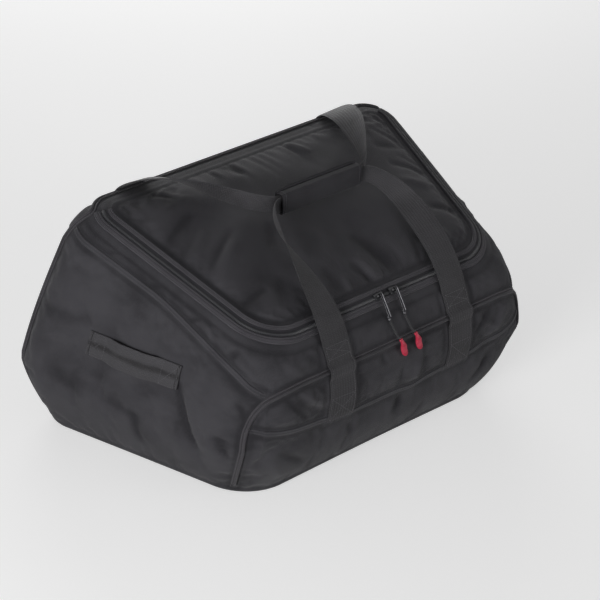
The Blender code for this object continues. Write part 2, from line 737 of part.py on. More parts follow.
def slider_bail(middle, inward, normal, metal):
    """Arch along the zip with both feet in the cover: the bar stands free between them."""
    half = BAIL_LENGTH / 2
    inside = half - BAIL_WIRE
    under = BAIL_RISE - BAIL_WIRE
    sunk = -0.4 * SLIDER_PLATE
    outline = [
        (-half, sunk), (-half, under), (-inside, BAIL_RISE), (inside, BAIL_RISE), (half, under),
        (half, sunk), (inside, sunk), (inside, under), (-inside, under), (-inside, sunk),
    ]
    run = np.array([1.0, 0, 0])
    plate_high = chain_top() + SLIDER_PLATE
    outline = np.array([middle + run * a + normal * (plate_high + b) for a, b in outline])
    across = inward * BAIL_WIDTH / 2
    arch = skin("bail_guide", np.array([outline - across, outline + across]), metal)
    arch.hide_render = True
    arch.display_type = "WIRE"
    return arch


def pull_line(x):
    """Front profile of the shell at x below the zip: rows of (up, point, normal)."""
    ups = np.linspace(*PULL_UPS, 95)
    around = np.array([front_around(x, up) for up in ups])
    points, normals = shell_point(around, ups)
    return points * (0, 1, 1) + np.array([x, 0, 0]), unit(normals * (0, 1, 1))


def pull_route(x):
    """Bar and tail of the metal pull, which hangs straight, then the leaning cord and moulded end."""
    points, normals = pull_line(x)
    bar = bail_point(x)
    reach = np.linalg.norm(points - bar, axis=1)
    tab_end_index = int(np.argmax(reach > TAB_REACH))
    tab_end = points[tab_end_index] + normals[tab_end_index] * (SOCKET_RADIUS + PULL_CLEARANCE)
    ups = np.linspace(*PULL_UPS, len(points))
    lift = PULL_GRIP_THICKNESS / 2 + PULL_CLEARANCE + over_piping(ups)
    outer = points + normals * lift[:, None]
    run = np.concatenate([[0], np.cumsum(np.linalg.norm(np.diff(outer, axis=0), axis=1))])
    start = run[tab_end_index]

    def leaning(travelled):
        """Points down the panel at distances from the pull's tail, bending over to +X."""
        at = start + travelled * math.cos(PULL_LEAN)
        places = np.stack([np.interp(at, run, outer[:, axis]) for axis in range(3)], axis=1)
        places[:, 0] += (np.hypot(travelled, PULL_LEAN_BEND) - PULL_LEAN_BEND) * math.sin(PULL_LEAN)
        return places

    cord = leaning(np.linspace(0, CORD_LENGTH, 9))
    tab_run = unit(tab_end - bar)
    cord[0] = tab_end + tab_run * GAP
    cord[1] = 0.5 * (cord[0] + tab_run * CORD_LENGTH / 8) + 0.5 * cord[1]
    grip = leaning(CORD_LENGTH + 2 * GAP + np.linspace(0, PULL_GRIP_LENGTH, 7))
    return bar, tab_end, cord, grip


def pull_tab(name, x, metal):
    """Sheet-metal pull: an eye rolled round the bar, a flat tail and a socket for the cord."""
    bar, tab_end, _, _ = pull_route(x)
    run = unit(tab_end - bar)
    up = np.cross(run, np.array([1.0, 0, 0]))
    up *= np.sign(up[2])
    inner, outer = TAB_EYE_RADIUS, TAB_EYE_RADIUS + TAB_SHEET
    angles = np.linspace(math.pi / 2, math.tau + TAB_EYE_GAP, 17)
    tail = float(np.linalg.norm(tab_end - bar)) - 0.7 * SOCKET_LENGTH
    outline = [(tail, outer)] + [(outer * math.cos(a), outer * math.sin(a)) for a in angles]
    outline += [(inner * math.cos(a), inner * math.sin(a)) for a in angles[::-1]] + [(tail, inner)]
    outline = np.array([bar + run * a + up * b for a, b in outline])
    across = np.array([TAB_WIDTH / 2, 0, 0])
    tab = skin(name, np.array([outline - across, outline + across]), metal)
    union = tab.modifiers.new("socket", "BOOLEAN")
    union.operation = "UNION"
    union.object = tab_socket(tab_end, run, metal)
    place_on_joint(tab, bar)
    return tab


def tab_socket(tab_end, run, metal):
    """Closed barrel at the tail of a pull, in line with the cord."""
    up = unit(np.cross(run, np.array([1.0, 0, 0])))
    angles = np.arange(10) * math.tau / 10
    ring = np.cos(angles)[:, None] * np.array([1.0, 0, 0]) + np.sin(angles)[:, None] * up
    stations = [(-1, 0.75), (-0.85, 1), (-0.15, 1), (0, 0.8)]
    loops = [
        tab_end + run * at * SOCKET_LENGTH + ring * SOCKET_RADIUS * size for at, size in stations
    ]
    barrel = skin("socket_guide", np.array(loops), metal)
    barrel.hide_render = True
    barrel.display_type = "WIRE"
    return barrel


def pull_cord(name, x, finish):
    _, _, route, _ = pull_route(x)
    curve = bpy.data.curves.new(name, "CURVE")
    curve.dimensions = "3D"
    curve.bevel_depth = CORD_DIAMETER / 2
    curve.bevel_resolution = 2
    curve.use_fill_caps = True
    spline = curve.splines.new("POLY")
    spline.points.add(len(route) - 1)
    for point, place in zip(spline.points, route):
        point.co = (*place, 1)
    curve.materials.append(finish)
    cord = bpy.data.objects.new(name, curve)
    bpy.context.scene.collection.objects.link(cord)
    return cord


def pull_grip(name, x, rubber):
    """Moulded end: a narrow neck that swells to a flat rounded paddle with finger ridges."""
    _, _, _, line = pull_route(x)
    known = np.linspace(0, 1, len(line))
    share = np.linspace(0, 1, 13)
    centre = np.stack([np.interp(share, known, line[:, axis]) for axis in range(3)], axis=1)
    run = unit(np.gradient(centre, axis=0))
    out = unit(np.cross(run, np.array([1.0, 0, 0])))
    side = np.cross(out, run)[:, None]
    swell = 0.55 + 0.45 * smooth(share / 0.45)
    swell *= np.sqrt(np.clip(1 - (np.clip(share - 0.8, 0, 1) / 0.24) ** 2, 0.1, 1))
    angles = np.arange(12) * math.tau / 12
    half_width = PULL_GRIP_HALF * swell[:, None, None]
    half_thickness = PULL_GRIP_THICKNESS / 2 * np.sqrt(swell)[:, None, None]
    across = np.cos(angles)[None, :, None] * side * half_width
    through = np.sin(angles)[None, :, None] * out[:, None] * half_thickness
    return skin(name, centre[:, None] + across + through, rubber)


def clear_scene():
    for piece in list(bpy.data.objects):
        bpy.data.objects.remove(piece, do_unlink=True)


def main():
    clear_scene()
    cloth = material("woven_polyester", (0.030, 0.029, 0.033), 0.75)
    edge = material("covered_piping", (0.036, 0.035, 0.040), 0.65)
    webbing = material("polyester_webbing", (0.045, 0.045, 0.048), 0.70)
    tape = material("zip_tape", (0.022, 0.022, 0.025), 0.80)
    coil = material("nylon_coil", (0.020, 0.020, 0.022), 0.45)
    metal = material("painted_zinc", (0.060, 0.060, 0.065), 0.35, 0.8)
    steel = material("nickel_plated_steel", (0.60, 0.60, 0.62), 0.30, 1.0)
    cord = material("braided_cord", (0.020, 0.020, 0.022), 0.80)
    rubber = material("moulded_soft_pvc", (0.58, 0.03, 0.07), 0.45)
    bag_body(cloth)
    zip_parts(tape, coil, cloth)
    front_piping(edge)
    rear_piping(edge)
    carrying_strap("front_strap", FRONT_STRAP_X, front_around, -1, webbing)
    carrying_strap("rear_strap", REAR_STRAP_X, rear_around, 1, webbing)
    grip_wrap(cloth)
    grab_handle("grab_handle_left", -1, webbing)
    grab_handle("grab_handle_right", 1, webbing)
    for hand, towards in (("left", -1), ("right", 1)):
        x = towards * SLIDER_X
        zip_slider("zip_slider_" + hand, x, towards, metal)
        pull_tab("pull_tab_" + hand, x, steel)
        pull_cord("pull_cord_" + hand, x, cord)
        pull_grip("pull_grip_" + hand, x, rubber)


main()
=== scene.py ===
"""Looks of a soft travel bag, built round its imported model.

Metres, +Z up, the front faces -Y. A place on the shell is (around, up): around is 0 at the front
left corner, 1 at the front right, 2 at the rear right and 3 at the rear left; up is 0 at the base,
1 at the lower seam, 2 at the shoulder seam and 3 at the zip's lower edge.
"""
import math
from collections import namedtuple

import bpy
import numpy as np
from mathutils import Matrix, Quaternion, Vector


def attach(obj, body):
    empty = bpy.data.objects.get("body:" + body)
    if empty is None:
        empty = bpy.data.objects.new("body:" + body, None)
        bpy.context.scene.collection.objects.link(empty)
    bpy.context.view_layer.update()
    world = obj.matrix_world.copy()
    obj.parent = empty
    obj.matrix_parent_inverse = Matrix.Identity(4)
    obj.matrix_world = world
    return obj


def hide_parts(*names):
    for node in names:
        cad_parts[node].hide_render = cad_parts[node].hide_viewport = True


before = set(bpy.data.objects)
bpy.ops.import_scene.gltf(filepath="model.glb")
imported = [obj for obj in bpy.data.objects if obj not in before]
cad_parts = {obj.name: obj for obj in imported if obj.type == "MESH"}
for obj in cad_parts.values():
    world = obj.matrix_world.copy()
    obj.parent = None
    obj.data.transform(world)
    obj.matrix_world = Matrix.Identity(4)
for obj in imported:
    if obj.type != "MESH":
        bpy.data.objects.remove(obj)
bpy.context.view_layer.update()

X_AXIS = np.array([1.0, 0, 0])

# Shell, as in the part
DEPTH = 0.430
MIDDLE_Y = -0.0140
FRONT_HALF = 0.272
REAR_HALF = 0.380
SWELL_SIDE = 0.016
SWELL_REAR = 0.020
SWELL_LOW_FRONT = 0.008
SWELL_FRONT = 0.007
SWELL_BAND = 0.005
LID_CROWN = 0.030
FOLD_DEPTH = 0.005
CREASE_DEPTH = 0.0078
PANEL_RISE = 0.090
WALL_SCALE = (DEPTH, PANEL_RISE)
ZIP_SEAT_HALF = 0.0125
ZIP_SEAT_LEAN = math.radians(25)
ZIP_END_SHORT = 0.016
LID_MARGIN = 0.30
BASE_EDGE = 0.018
FRONT_Y = MIDDLE_Y + 0.5 * (SWELL_REAR - SWELL_FRONT) - DEPTH / 2
REAR_Y = FRONT_Y + DEPTH

# Webbing, sleeve and handles, as in the part
WEBBING_WIDTH = 0.050
WEBBING_THICKNESS = 0.0020
FRONT_STRAP_X = 0.123
REAR_STRAP_X = 0.205
STRAP_SEWN_TO = 2.62
STRAP_LIFT = 0.022
FRONT_STRAP_RISE = 0.40
REAR_STRAP_RISE = 0.33
STRAP_LEVEL_END = 0.22
STRAP_SAG = 0.0027
FOLDED_WIDTH = 0.026
FOLDED_THICKNESS = 0.0042
SLEEVE_HALF = 0.082
SLEEVE_SHEET = 0.0028
SLEEVE_OVERLAP = 1.1
SLEEVE_ROOM = 0.0016
SLEEVE_SQUARENESS = 0.42
SLEEVE_FORWARD = 0.012
HAND_ROOM = 0.018
GRAB_LENGTH = 0.175
GRAB_WIDTH = 0.038
GRAB_THICKNESS = 0.0032
GRAB_Z = 0.186
GRAB_AROUND = 3.46
GRAB_SEWN = 0.032
GRAB_BOW = 0.0075
GRAB_STEEPNESS = 1.6
SEWN_BOW = 0.0004
GAP = 0.0004

# Piping and pulls, as in the part
PIPING_RADIUS = 0.0024
PIPING_CORNER_BACK = 0.055
PIPING_CORNER_RUN = 0.15
PIPING_START_UP = 0.04
PIPING_BEND_UP = 1.1
PIPING_REAR_UP = 2.94
PIPING_TOP = 0.0035
PIPING_RISE = 0.0160
SLIDER_X = 0.0155
CORD_DIAMETER = 0.0028
PULL_BAR = (0, -0.18454, 0.26867)
PULL_TAIL = (0, -0.20847, 0.23591)
END_LINE = (
    (0.0080, -0.22511, 0.21026), (0.00979, -0.22747, 0.2058), (0.01159, -0.22879, 0.20081),
    (0.01342, -0.22806, 0.19572), (0.01525, -0.22709, 0.19065), (0.01709, -0.2281, 0.18561),
    (0.01894, -0.22948, 0.18063),
)
END_HALF = 0.0052
END_DEEP = 0.0032

CORD_ROUTE = (
    (0, -0.2087, 0.23559), (0.00011, -0.21106, 0.23267), (0.00085, -0.21292, 0.22972),
    (0.00175, -0.21465, 0.22632), (0.0028, -0.21622, 0.22284), (0.00396, -0.21764, 0.2193),
    (0.00519, -0.21895, 0.21571), (0.00645, -0.22133, 0.21283), (0.00774, -0.2245, 0.2107),
)

# Middle radius of a pull's eye, how far the crimp laps the sheet, the crimp's profile as (along,
# radius), and the pull's as (across, height, brightness from rim wear and a painted highlight on
# the +X rim)
EYE_RADIUS = 0.00245
CRIMP_OVER = 0.0058
BARREL = np.array([
    (-0.0088, 0.0017), (-0.0084, 0.0023), (-0.0072, 0.0026), (-0.0056, 0.0026), (-0.0052, 0.0022),
    (-0.0044, 0.0022), (-0.0040, 0.0026), (-0.0014, 0.0026), (-0.0004, 0.0022), (0.0, 0.0019),
])
PULL_PROFILE = np.array([
    (-0.0025, -0.00055, 0.2), (0.0025, -0.00055, 0.4), (0.0026, 0.0004, 0.8), (0.0023, 0.0009, 1.0),
    (0.0018, 0.0009, 0.6), (0.0014, 0.0004, 0.0), (-0.0014, 0.0004, 0.0), (-0.0018, 0.0009, 0.1),
    (-0.0023, 0.0009, 0.3), (-0.0026, 0.0004, 0.2),
])

Level = namedtuple(
    "Level", "front_y rear_y front_half rear_half front_z rear_z front_radius rear_radius"
)
BASE = Level(FRONT_Y + 0.040, REAR_Y - 0.014, 0.256, 0.364, 0.014, 0.014, 0.085, 0.046)
LOWER_SEAM = Level(FRONT_Y, REAR_Y, FRONT_HALF, REAR_HALF, 0.118, 0.110, 0.085, 0.046)
SHOULDER = Level(FRONT_Y + 0.004, REAR_Y - 0.028, 0.264, 0.346, 0.203, 0.318, 0.062, 0.046)
ZIP_LINE = Level(FRONT_Y + 0.044, REAR_Y - 0.062, 0.232, 0.294, 0.262, 0.362, 0.070, 0.034)

# Folds: both ends, the width in metres and the share of the full depth. On the walls an end is
# around and up, on the lid x and y
SIDE_FOLDS = (
    (3.67, 1.45, 3.77, 0.80, 0.018, -1.1), (3.80, 1.30, 3.86, 0.80, 0.022, 0.7),
    (3.10, 1.30, 3.34, 1.22, 0.016, -0.6), (3.92, 1.75, 3.98, 1.10, 0.018, -0.7),
    (0.11, 1.80, 0.19, 1.35, 0.016, -0.9), (0.31, 1.75, 0.31, 1.20, 0.018, 0.8),
    (0.56, 1.65, 0.55, 1.10, 0.018, 0.9), (0.86, 1.20, 0.80, 1.80, 0.018, -0.8),
    (1.12, 1.10, 1.16, 1.70, 0.022, 0.9), (1.72, 0.30, 1.66, 1.10, 0.024, -0.9),
    (2.30, 0.80, 2.36, 1.60, 0.026, 0.9), (2.72, 0.40, 2.66, 1.40, 0.024, -0.8),
)
LID_FOLDS = (
    (-0.225, -0.055, -0.125, -0.010, 0.026, 1.0), (-0.215, 0.010, -0.090, 0.055, 0.028, -0.9),
    (-0.220, -0.110, -0.150, -0.095, 0.022, -0.9), (-0.110, -0.125, -0.050, -0.080, 0.024, 0.8),
    (0.040, -0.140, 0.020, -0.080, 0.024, -1.0), (0.110, -0.060, 0.210, -0.020, 0.026, 0.9),
    (0.070, 0.060, 0.180, 0.100, 0.028, -0.9),
)

# Sharp creases that only the cloth shows, in the same form, each tapering to its ends
SIDE_CREASES = (
    (3.64, 1.55, 3.78, 0.70, 0.0045, -0.55), (3.69, 1.50, 3.81, 0.75, 0.0090, 0.40),
    (3.02, 1.50, 3.26, 1.60, 0.0045, -0.28), (3.10, 1.10, 3.30, 0.95, 0.0070, -0.30),
    (3.36, 1.02, 3.56, 0.86, 0.0080, -0.30), (3.50, 0.95, 3.54, 0.40, 0.0060, -0.35),
    (3.90, 1.70, 3.97, 1.35, 0.0050, -0.45), (3.86, 1.10, 3.94, 0.60, 0.0060, -0.45),
    (3.91, 1.00, 3.93, 0.35, 0.0070, 0.45), (3.16, 2.44, 3.24, 2.80, 0.0050, -0.40),
    (3.30, 2.42, 3.27, 2.74, 0.0060, 0.35), (3.40, 2.44, 3.47, 2.78, 0.0050, -0.45),
    (3.53, 2.40, 3.50, 2.72, 0.0060, 0.35), (3.63, 2.40, 3.70, 2.74, 0.0050, -0.45),
    (3.76, 2.34, 3.73, 2.66, 0.0060, 0.35), (3.84, 2.28, 3.90, 2.62, 0.0055, -0.40),
    (0.04, 2.60, 0.12, 2.15, 0.0070, 0.40), (0.12, 2.62, 0.19, 2.20, 0.0060, -0.40),
    (0.05, 1.88, 0.14, 1.30, 0.0050, -0.50), (0.10, 1.92, 0.20, 1.42, 0.0060, 0.50),
    (0.15, 1.94, 0.23, 1.60, 0.0045, -0.40), (0.295, 1.92, 0.300, 1.30, 0.0055, 0.55),
    (0.325, 1.90, 0.335, 1.45, 0.0050, -0.40), (0.42, 1.92, 0.44, 1.65, 0.0045, -0.35),
    (0.57, 1.75, 0.545, 1.12, 0.0055, 0.55), (0.59, 1.80, 0.58, 1.20, 0.0060, -0.40),
    (0.70, 1.93, 0.68, 1.60, 0.0050, -0.40), (0.36, 2.30, 0.44, 2.60, 0.0080, 0.25),
    (0.88, 1.94, 0.80, 1.40, 0.0055, -0.50), (0.94, 1.80, 0.86, 1.25, 0.0060, 0.45),
    (0.05, 0.85, 0.16, 0.45, 0.0060, -0.45), (0.02, 0.90, 0.08, 0.30, 0.0070, 0.40),
    (0.30, 0.92, 0.33, 0.60, 0.0060, -0.35), (0.52, 0.92, 0.50, 0.62, 0.0070, -0.35),
    (0.90, 0.90, 0.84, 0.45, 0.0060, -0.45), (1.04, 1.20, 1.10, 0.60, 0.0060, -0.45),
    (1.10, 1.60, 1.22, 1.10, 0.0055, -0.45), (1.20, 2.42, 1.27, 2.72, 0.0055, -0.40),
    (1.33, 1.00, 1.30, 0.50, 0.0070, -0.35), (1.38, 2.40, 1.34, 2.70, 0.0060, 0.35),
    (1.52, 2.42, 1.58, 2.76, 0.0055, -0.40), (1.62, 1.00, 1.74, 0.60, 0.0070, -0.40),
    (1.72, 2.44, 1.68, 2.78, 0.0060, 0.35), (1.86, 1.60, 1.96, 1.20, 0.0060, -0.40),
    (2.06, 1.70, 2.16, 1.20, 0.0060, -0.45), (2.12, 0.90, 2.20, 0.40, 0.0070, -0.40),
    (2.40, 1.80, 2.44, 1.10, 0.0080, -0.35), (2.52, 1.20, 2.60, 0.60, 0.0070, -0.40),
    (2.64, 1.80, 2.58, 1.30, 0.0080, 0.35), (2.84, 1.60, 2.92, 1.10, 0.0060, -0.45),
    (2.90, 0.90, 2.82, 0.40, 0.0070, -0.40),
)
LID_CREASES = (
    (0.009, -0.164, -0.010, -0.118, 0.0080, 0.55),
    (-0.006, -0.162, -0.026, -0.124, 0.0060, -0.40),
    (-0.054, -0.162, -0.046, -0.132, 0.0065, 0.45),
    (-0.070, -0.156, -0.076, -0.112, 0.0100, -0.30),
    (0.046, -0.160, 0.012, -0.086, 0.0110, -0.42), (0.082, -0.156, 0.056, -0.100, 0.0105, 0.28),
    (0.130, -0.156, 0.110, -0.120, 0.0060, -0.40), (0.168, -0.150, 0.150, -0.108, 0.0070, 0.40),
    (-0.126, -0.150, -0.108, -0.104, 0.0110, 0.30),
    (-0.170, -0.144, -0.140, -0.100, 0.0120, -0.32),
    (-0.222, -0.112, -0.172, -0.106, 0.0060, -0.45),
    (-0.232, -0.070, -0.160, -0.026, 0.0080, 0.45),
    (-0.226, -0.044, -0.150, -0.004, 0.0070, -0.45),
    (-0.236, -0.014, -0.180, 0.020, 0.0080, 0.35), (-0.244, 0.030, -0.178, 0.052, 0.0070, -0.40),
    (-0.248, 0.064, -0.196, 0.076, 0.0080, 0.35), (-0.120, -0.060, -0.090, -0.020, 0.0090, -0.35),
    (0.226, -0.100, 0.176, -0.084, 0.0070, -0.45), (0.236, -0.052, 0.170, -0.030, 0.0080, 0.40),
    (0.240, -0.020, 0.184, 0.010, 0.0070, -0.40), (0.250, 0.036, 0.190, 0.050, 0.0080, -0.35),
    (-0.200, 0.118, -0.180, 0.080, 0.0070, -0.40), (-0.060, 0.124, -0.050, 0.084, 0.0080, -0.35),
    (0.070, 0.124, 0.084, 0.080, 0.0070, 0.40), (0.190, 0.120, 0.176, 0.084, 0.0080, -0.35),
)

ARC_POINTS = 48

# Roll of the camera in degrees, each lamp's name, place, width and watts, how strong the world is
# as light and to the camera, and how much the floor glows for the camera alone
CAMERA_ROLL = 4.1
LAMPS = (
    ("key", (-2.8, -1.0, 0.70), 1.2, 57), ("fill", (1.4, -2.8, 0.6), 2.0, 19),
    ("back", (1.7, 2.5, 0.9), 2.0, 30),
)
WORLD_LIGHT = 0.13
WORLD_SEEN = 0.92
FLOOR_GLOW = 0.56

# Grid of the shell: columns along the front and along a side, and rows of each panel
FRONT_COLUMNS = 72
SIDE_COLUMNS = 46
PANEL_ROWS = (13, 18, 8)
FINER = 2

# Thread, and where it runs on a sewn leg: inset from the edge, then its ends and two boxes as up
STITCH_INSET = 0.0035
LEG_LOW = 1.06
LEG_HIGH = STRAP_SEWN_TO - 0.04
LOW_BOX = 0.44
HIGH_BOX = 0.30
STITCH_PITCH = 0.0038
STITCH_LENGTH = 0.0029
STITCH_RADIUS = 0.00042

# The zip: pitch of its coil, height of its folded edges, and for each edge its name, side, width
# and the rows that sew it
COIL_PITCH = 0.0024
WELT_TOP = 0.0032
ZIP_EDGES = (("lid", 1, 0.0072, (0.0115, 0.0090)), ("band", -1, 0.0104, (0.0118, 0.0068)))

# The felled seams: where an end seam runs, their profile as (across, height) and their two rows
SEAM_AROUND = (3.0, 3.5, 3.66, 3.82, 4.0)
SEAM_UP = (2.42, 2.44, 2.28, 2.08, 1.88)
SEAM_PROFILE = np.array([
    (-0.0046, -0.0008), (-0.0042, 0.0004), (-0.0020, 0.0010), (0.0024, 0.0012), (0.0036, 0.0011),
    (0.0042, 0.0006), (0.0044, -0.0008),
])
SEAM_ROWS = (0.0020, -0.0022)

# The flat lip of a piping, and how a piping or seam ends: over what length, how narrow and deep
PIPING_LIP = 0.0062
SEAM_END = 0.012
SEAM_END_WIDTH = 0.45
SEAM_SINK = 0.0012
BRAID_ANGLE = math.radians(40)

# The settling cloth: its settings, its frames, the most that it moves a point, and how much a metre
# of crease or of fold lightens its ridges with wear and darkens its valleys with painted shade
CLOTH = {
    "quality": 5, "mass": 0.25, "tension_stiffness": 20, "compression_stiffness": 20,
    "shear_stiffness": 8, "bending_stiffness": 0.6, "use_pressure": True,
    "uniform_pressure_force": 4.0, "vertex_group_mass": "held", "shrink_min": -0.022,
}
CLOTH_FRAMES = 20
MOST_MOVE = 0.0045
CREASE_WEAR_AND_SHADE = 110
FOLD_WEAR_AND_SHADE = 20

# The furrow beside what is sewn: its distance from the seam, width and depth, and the shade painted
# into it
PUCKER_AT = 0.0085
PUCKER_WIDTH = 0.0036
PUCKER_DEPTH = 0.0011
PUCKER_SHADE = 0.28

# Where the pulls slide: half the width of that field, its lower edge and how deep it is
PULL_FIELD_HALF = 0.092
PULL_FIELD_LOW = 0.155
PULL_FIELD_DEEP = 0.060


def smooth(share):
    """Rises from 0 to 1 with level ends: 3 s^2 - 2 s^3."""
    share = np.clip(share, 0, 1)
    return share * share * (3 - 2 * share)


def unit(vectors):
    """Vectors of length 1 in the same directions."""
    return vectors / np.maximum(np.linalg.norm(vectors, axis=-1, keepdims=True), 1e-12)


def circle(angles):
    """Points of the unit circle: cosine and sine of each angle."""
    return np.stack([np.cos(angles), np.sin(angles)], axis=1)


def squared(wave, power):
    """A cosine or sine to a power, with its sign kept: below 1 the circle turns into a square."""
    return np.sign(wave) * np.abs(wave) ** power


def resampled(at, known, line):
    """Rows of three, known at some places of a path, at other places of it."""
    return np.stack([np.interp(at, known, line[:, axis]) for axis in range(3)], axis=1)


def across_path(centre, normals):
    """Unit directions along a path and across it, in the surface that it runs on."""
    run = unit(np.gradient(centre, axis=0))
    return run, unit(np.cross(normals, run))


def corner_arc(before, corner, after, radius):
    """Arc that rounds a corner. Its centre is on the bisector, at radius / sin(half the angle)."""
    back, on = unit(before - corner), unit(after - corner)
    half_angle = math.acos(float(np.clip(back @ on, -1, 1))) / 2
    centre = corner + unit(back + on) * radius / math.sin(half_angle)
    start = corner + back * radius / math.tan(half_angle) - centre
    turn = math.pi - 2 * half_angle
    angle = math.atan2(start[1], start[0]) + np.linspace(0, turn, ARC_POINTS + 1)
    return centre + radius * circle(angle)


def ring_sides(level):
    """The four sides of a rounded trapezoid in plan, each from mid corner to mid corner."""
    corners = np.array([
        (-level.front_half, level.front_y), (level.front_half, level.front_y),
        (level.rear_half, level.rear_y), (-level.rear_half, level.rear_y),
    ])
    radii = (level.front_radius, level.front_radius, level.rear_radius, level.rear_radius)
    arcs = [
        corner_arc(corners[i - 1], corners[i], corners[(i + 1) % 4], radii[i]) for i in range(4)
    ]
    middle = ARC_POINTS // 2
    return [
        np.concatenate([arcs[i][middle:], arcs[(i + 1) % 4][: middle + 1]]) for i in range(4)
    ]


SIDES = {level: ring_sides(level) for level in (BASE, LOWER_SEAM, SHOULDER, ZIP_LINE)}


def ring_point(level, around):
    """Points of a level, spaced along each side by the share of its length."""
    around = np.asarray(around, float) % 4
    side_of = np.minimum(around.astype(int), 3)
    plan = np.zeros(around.shape + (2,))
    for index, side in enumerate(SIDES[level]):
        steps = np.linalg.norm(np.diff(side, axis=0), axis=1)
        run = np.concatenate([[0], np.cumsum(steps)]) / steps.sum()
        here = side_of == index
        for axis in range(2):
            plan[..., axis][here] = np.interp(around[here] - index, run, side[:, axis])
    share = (plan[..., 1] - level.front_y) / (level.rear_y - level.front_y)
    height = level.front_z + (level.rear_z - level.front_z) * share
    return np.concatenate([plan, height[..., None]], axis=-1)


def zip_frame(around):
    """Middle of the zip, its run, the direction across it to the lid, and its outward normal."""
    around = np.asarray(around, float)
    step = 0.004
    middle = ring_point(ZIP_LINE, around)
    run = unit(ring_point(ZIP_LINE, around + step) - ring_point(ZIP_LINE, around - step))
    slope = math.atan2(ZIP_LINE.rear_z - ZIP_LINE.front_z, ZIP_LINE.rear_y - ZIP_LINE.front_y)
    lid_normal = np.array([0, -math.sin(slope), math.cos(slope)])
    outward = unit(np.cross(run, lid_normal))
    normal = math.cos(ZIP_SEAT_LEAN) * lid_normal + math.sin(ZIP_SEAT_LEAN) * outward
    return middle, run, unit(np.cross(normal, run)), normal


def zip_place(around, across, height=0.0):
    """Point at a distance across the zip, towards the lid, and a height above its seat."""
    middle, _, inward, normal = zip_frame(around)
    across, height = np.asarray(across)[..., None], np.asarray(height)[..., None]
    return middle + inward * across + normal * height


def flat_panel(around, up):
    """The shell with no swelling: straight from ring to ring, the last at the zip's lower edge."""
    around, up = np.broadcast_arrays(np.asarray(around, float), np.asarray(up, float))
    rings = [ring_point(level, around) for level in (BASE, LOWER_SEAM, SHOULDER)]
    rings = np.stack(rings + [zip_place(around, -ZIP_SEAT_HALF)])
    below = np.clip(np.floor(up).astype(int), 0, 2)
    low = np.take_along_axis(rings, below[None, ..., None], axis=0)[0]
    high = np.take_along_axis(rings, below[None, ..., None] + 1, axis=0)[0]
    return low + (high - low) * (up - below)[..., None]


def facing(around, side):
    """1 on the panel of that side (0.5 front, 2.5 rear), falling to 0 just before its corners."""
    distance = np.abs((around - side + 2) % 4 - 2)
    return 1 - smooth((distance - 0.42) / 0.14)


def fold_height(places, folds, scale, depth=FOLD_DEPTH, taper=False):
    """Sum of ridges: each fades with the square of the distance from the line between its ends,
    and a tapered one also as a sine towards both ends."""
    total = np.zeros(places.shape[:-1])
    for *ends, width, height in folds:
        start, end = np.reshape(ends, (2, 2)) * scale
        line = end - start
        offset = places * scale - start
        share = np.clip(offset @ line / (line @ line), 0, 1)
        distance = np.linalg.norm(offset - share[..., None] * line, axis=-1)
        ridge = height * depth * np.exp(-((distance / width) ** 2))
        total += ridge * np.sin(math.pi * share) ** 0.5 if taper else ridge
    return total


def swelling(around, up):
    """How far the filling pushes a panel out: a half sine between seams, and the folds."""
    wall = np.sin(math.pi * np.clip(up, 0, 2) / 2)
    side = (SWELL_SIDE + (SWELL_REAR - SWELL_SIDE) * facing(around, 2.5)) * wall
    front = np.where(
        up < 1,
        SWELL_LOW_FRONT * np.sin(math.pi * np.clip(up, 0, 1)),
        SWELL_FRONT * np.sin(math.pi * np.clip(up - 1, 0, 1)),
    )
    in_front = facing(around, 0.5)
    band = SWELL_BAND * np.sin(math.pi * np.clip(up - 2, 0, 1))
    folds = fold_height(np.stack([around % 4, up], axis=-1), SIDE_FOLDS, WALL_SCALE)
    return (1 - in_front) * side + in_front * front + band + folds * wall ** 2


def shell_point(around, up):
    """Point of the swollen shell and its outward normal, the cross product of two small steps."""
    around, up = np.broadcast_arrays(np.asarray(around, float), np.asarray(up, float))
    step = 0.01
    inside = np.clip(up, step, 3 - step)

    def swollen(here, there):
        level = np.clip(there, step, 3 - step)
        run = flat_panel(here + step, there) - flat_panel(here - step, there)
        rise = flat_panel(here, level + step) - flat_panel(here, level - step)
        out = unit(np.cross(run, rise))
        return flat_panel(here, there) + out * swelling(here, there)[..., None]

    run = swollen(around + step, up) - swollen(around - step, up)
    rise = swollen(around, inside + step) - swollen(around, inside - step)
    return swollen(around, up), unit(np.cross(run, rise))


def lid_height(plan):
    """Height of the lid: from its edge to its middle it rises as a parabola, with folds."""
    edge = zip_place(np.linspace(0, 4, 1601), ZIP_SEAT_HALF)
    middle = np.array([0, (ZIP_LINE.front_y + ZIP_LINE.rear_y) / 2])
    middle_z = (ZIP_LINE.front_z + ZIP_LINE.rear_z) / 2
    spoke = edge[:, :2] - middle
    angle = np.arctan2(spoke[:, 1], spoke[:, 0])
    order = np.argsort(angle)
    here = plan - middle
    at = np.arctan2(here[..., 1], here[..., 0])
    reach = np.interp(at, angle[order], np.linalg.norm(spoke, axis=1)[order], period=math.tau)
    edge_z = np.interp(at, angle[order], edge[order, 2], period=math.tau)
    inwards = np.clip(1 - np.linalg.norm(here, axis=-1) / reach, 0, 1)
    crown = LID_CROWN * (1 - (1 - inwards) ** 2)
    crown += fold_height(plan, LID_FOLDS, (1, 1)) * smooth(inwards / LID_MARGIN)
    return edge_z * (1 - inwards) + middle_z * inwards + crown


def front_around(x, up):
    """Where the front panel's ring at that height reaches x."""
    table = np.linspace(0.02, 0.98, 160)
    return np.interp(x, flat_panel(table, up)[:, 0], table)


def rear_around(x, up):
    """The same on the rear panel, where x falls as around grows."""
    table = np.linspace(2.02, 2.98, 160)
    return np.interp(-x, -flat_panel(table, up)[:, 0], table)


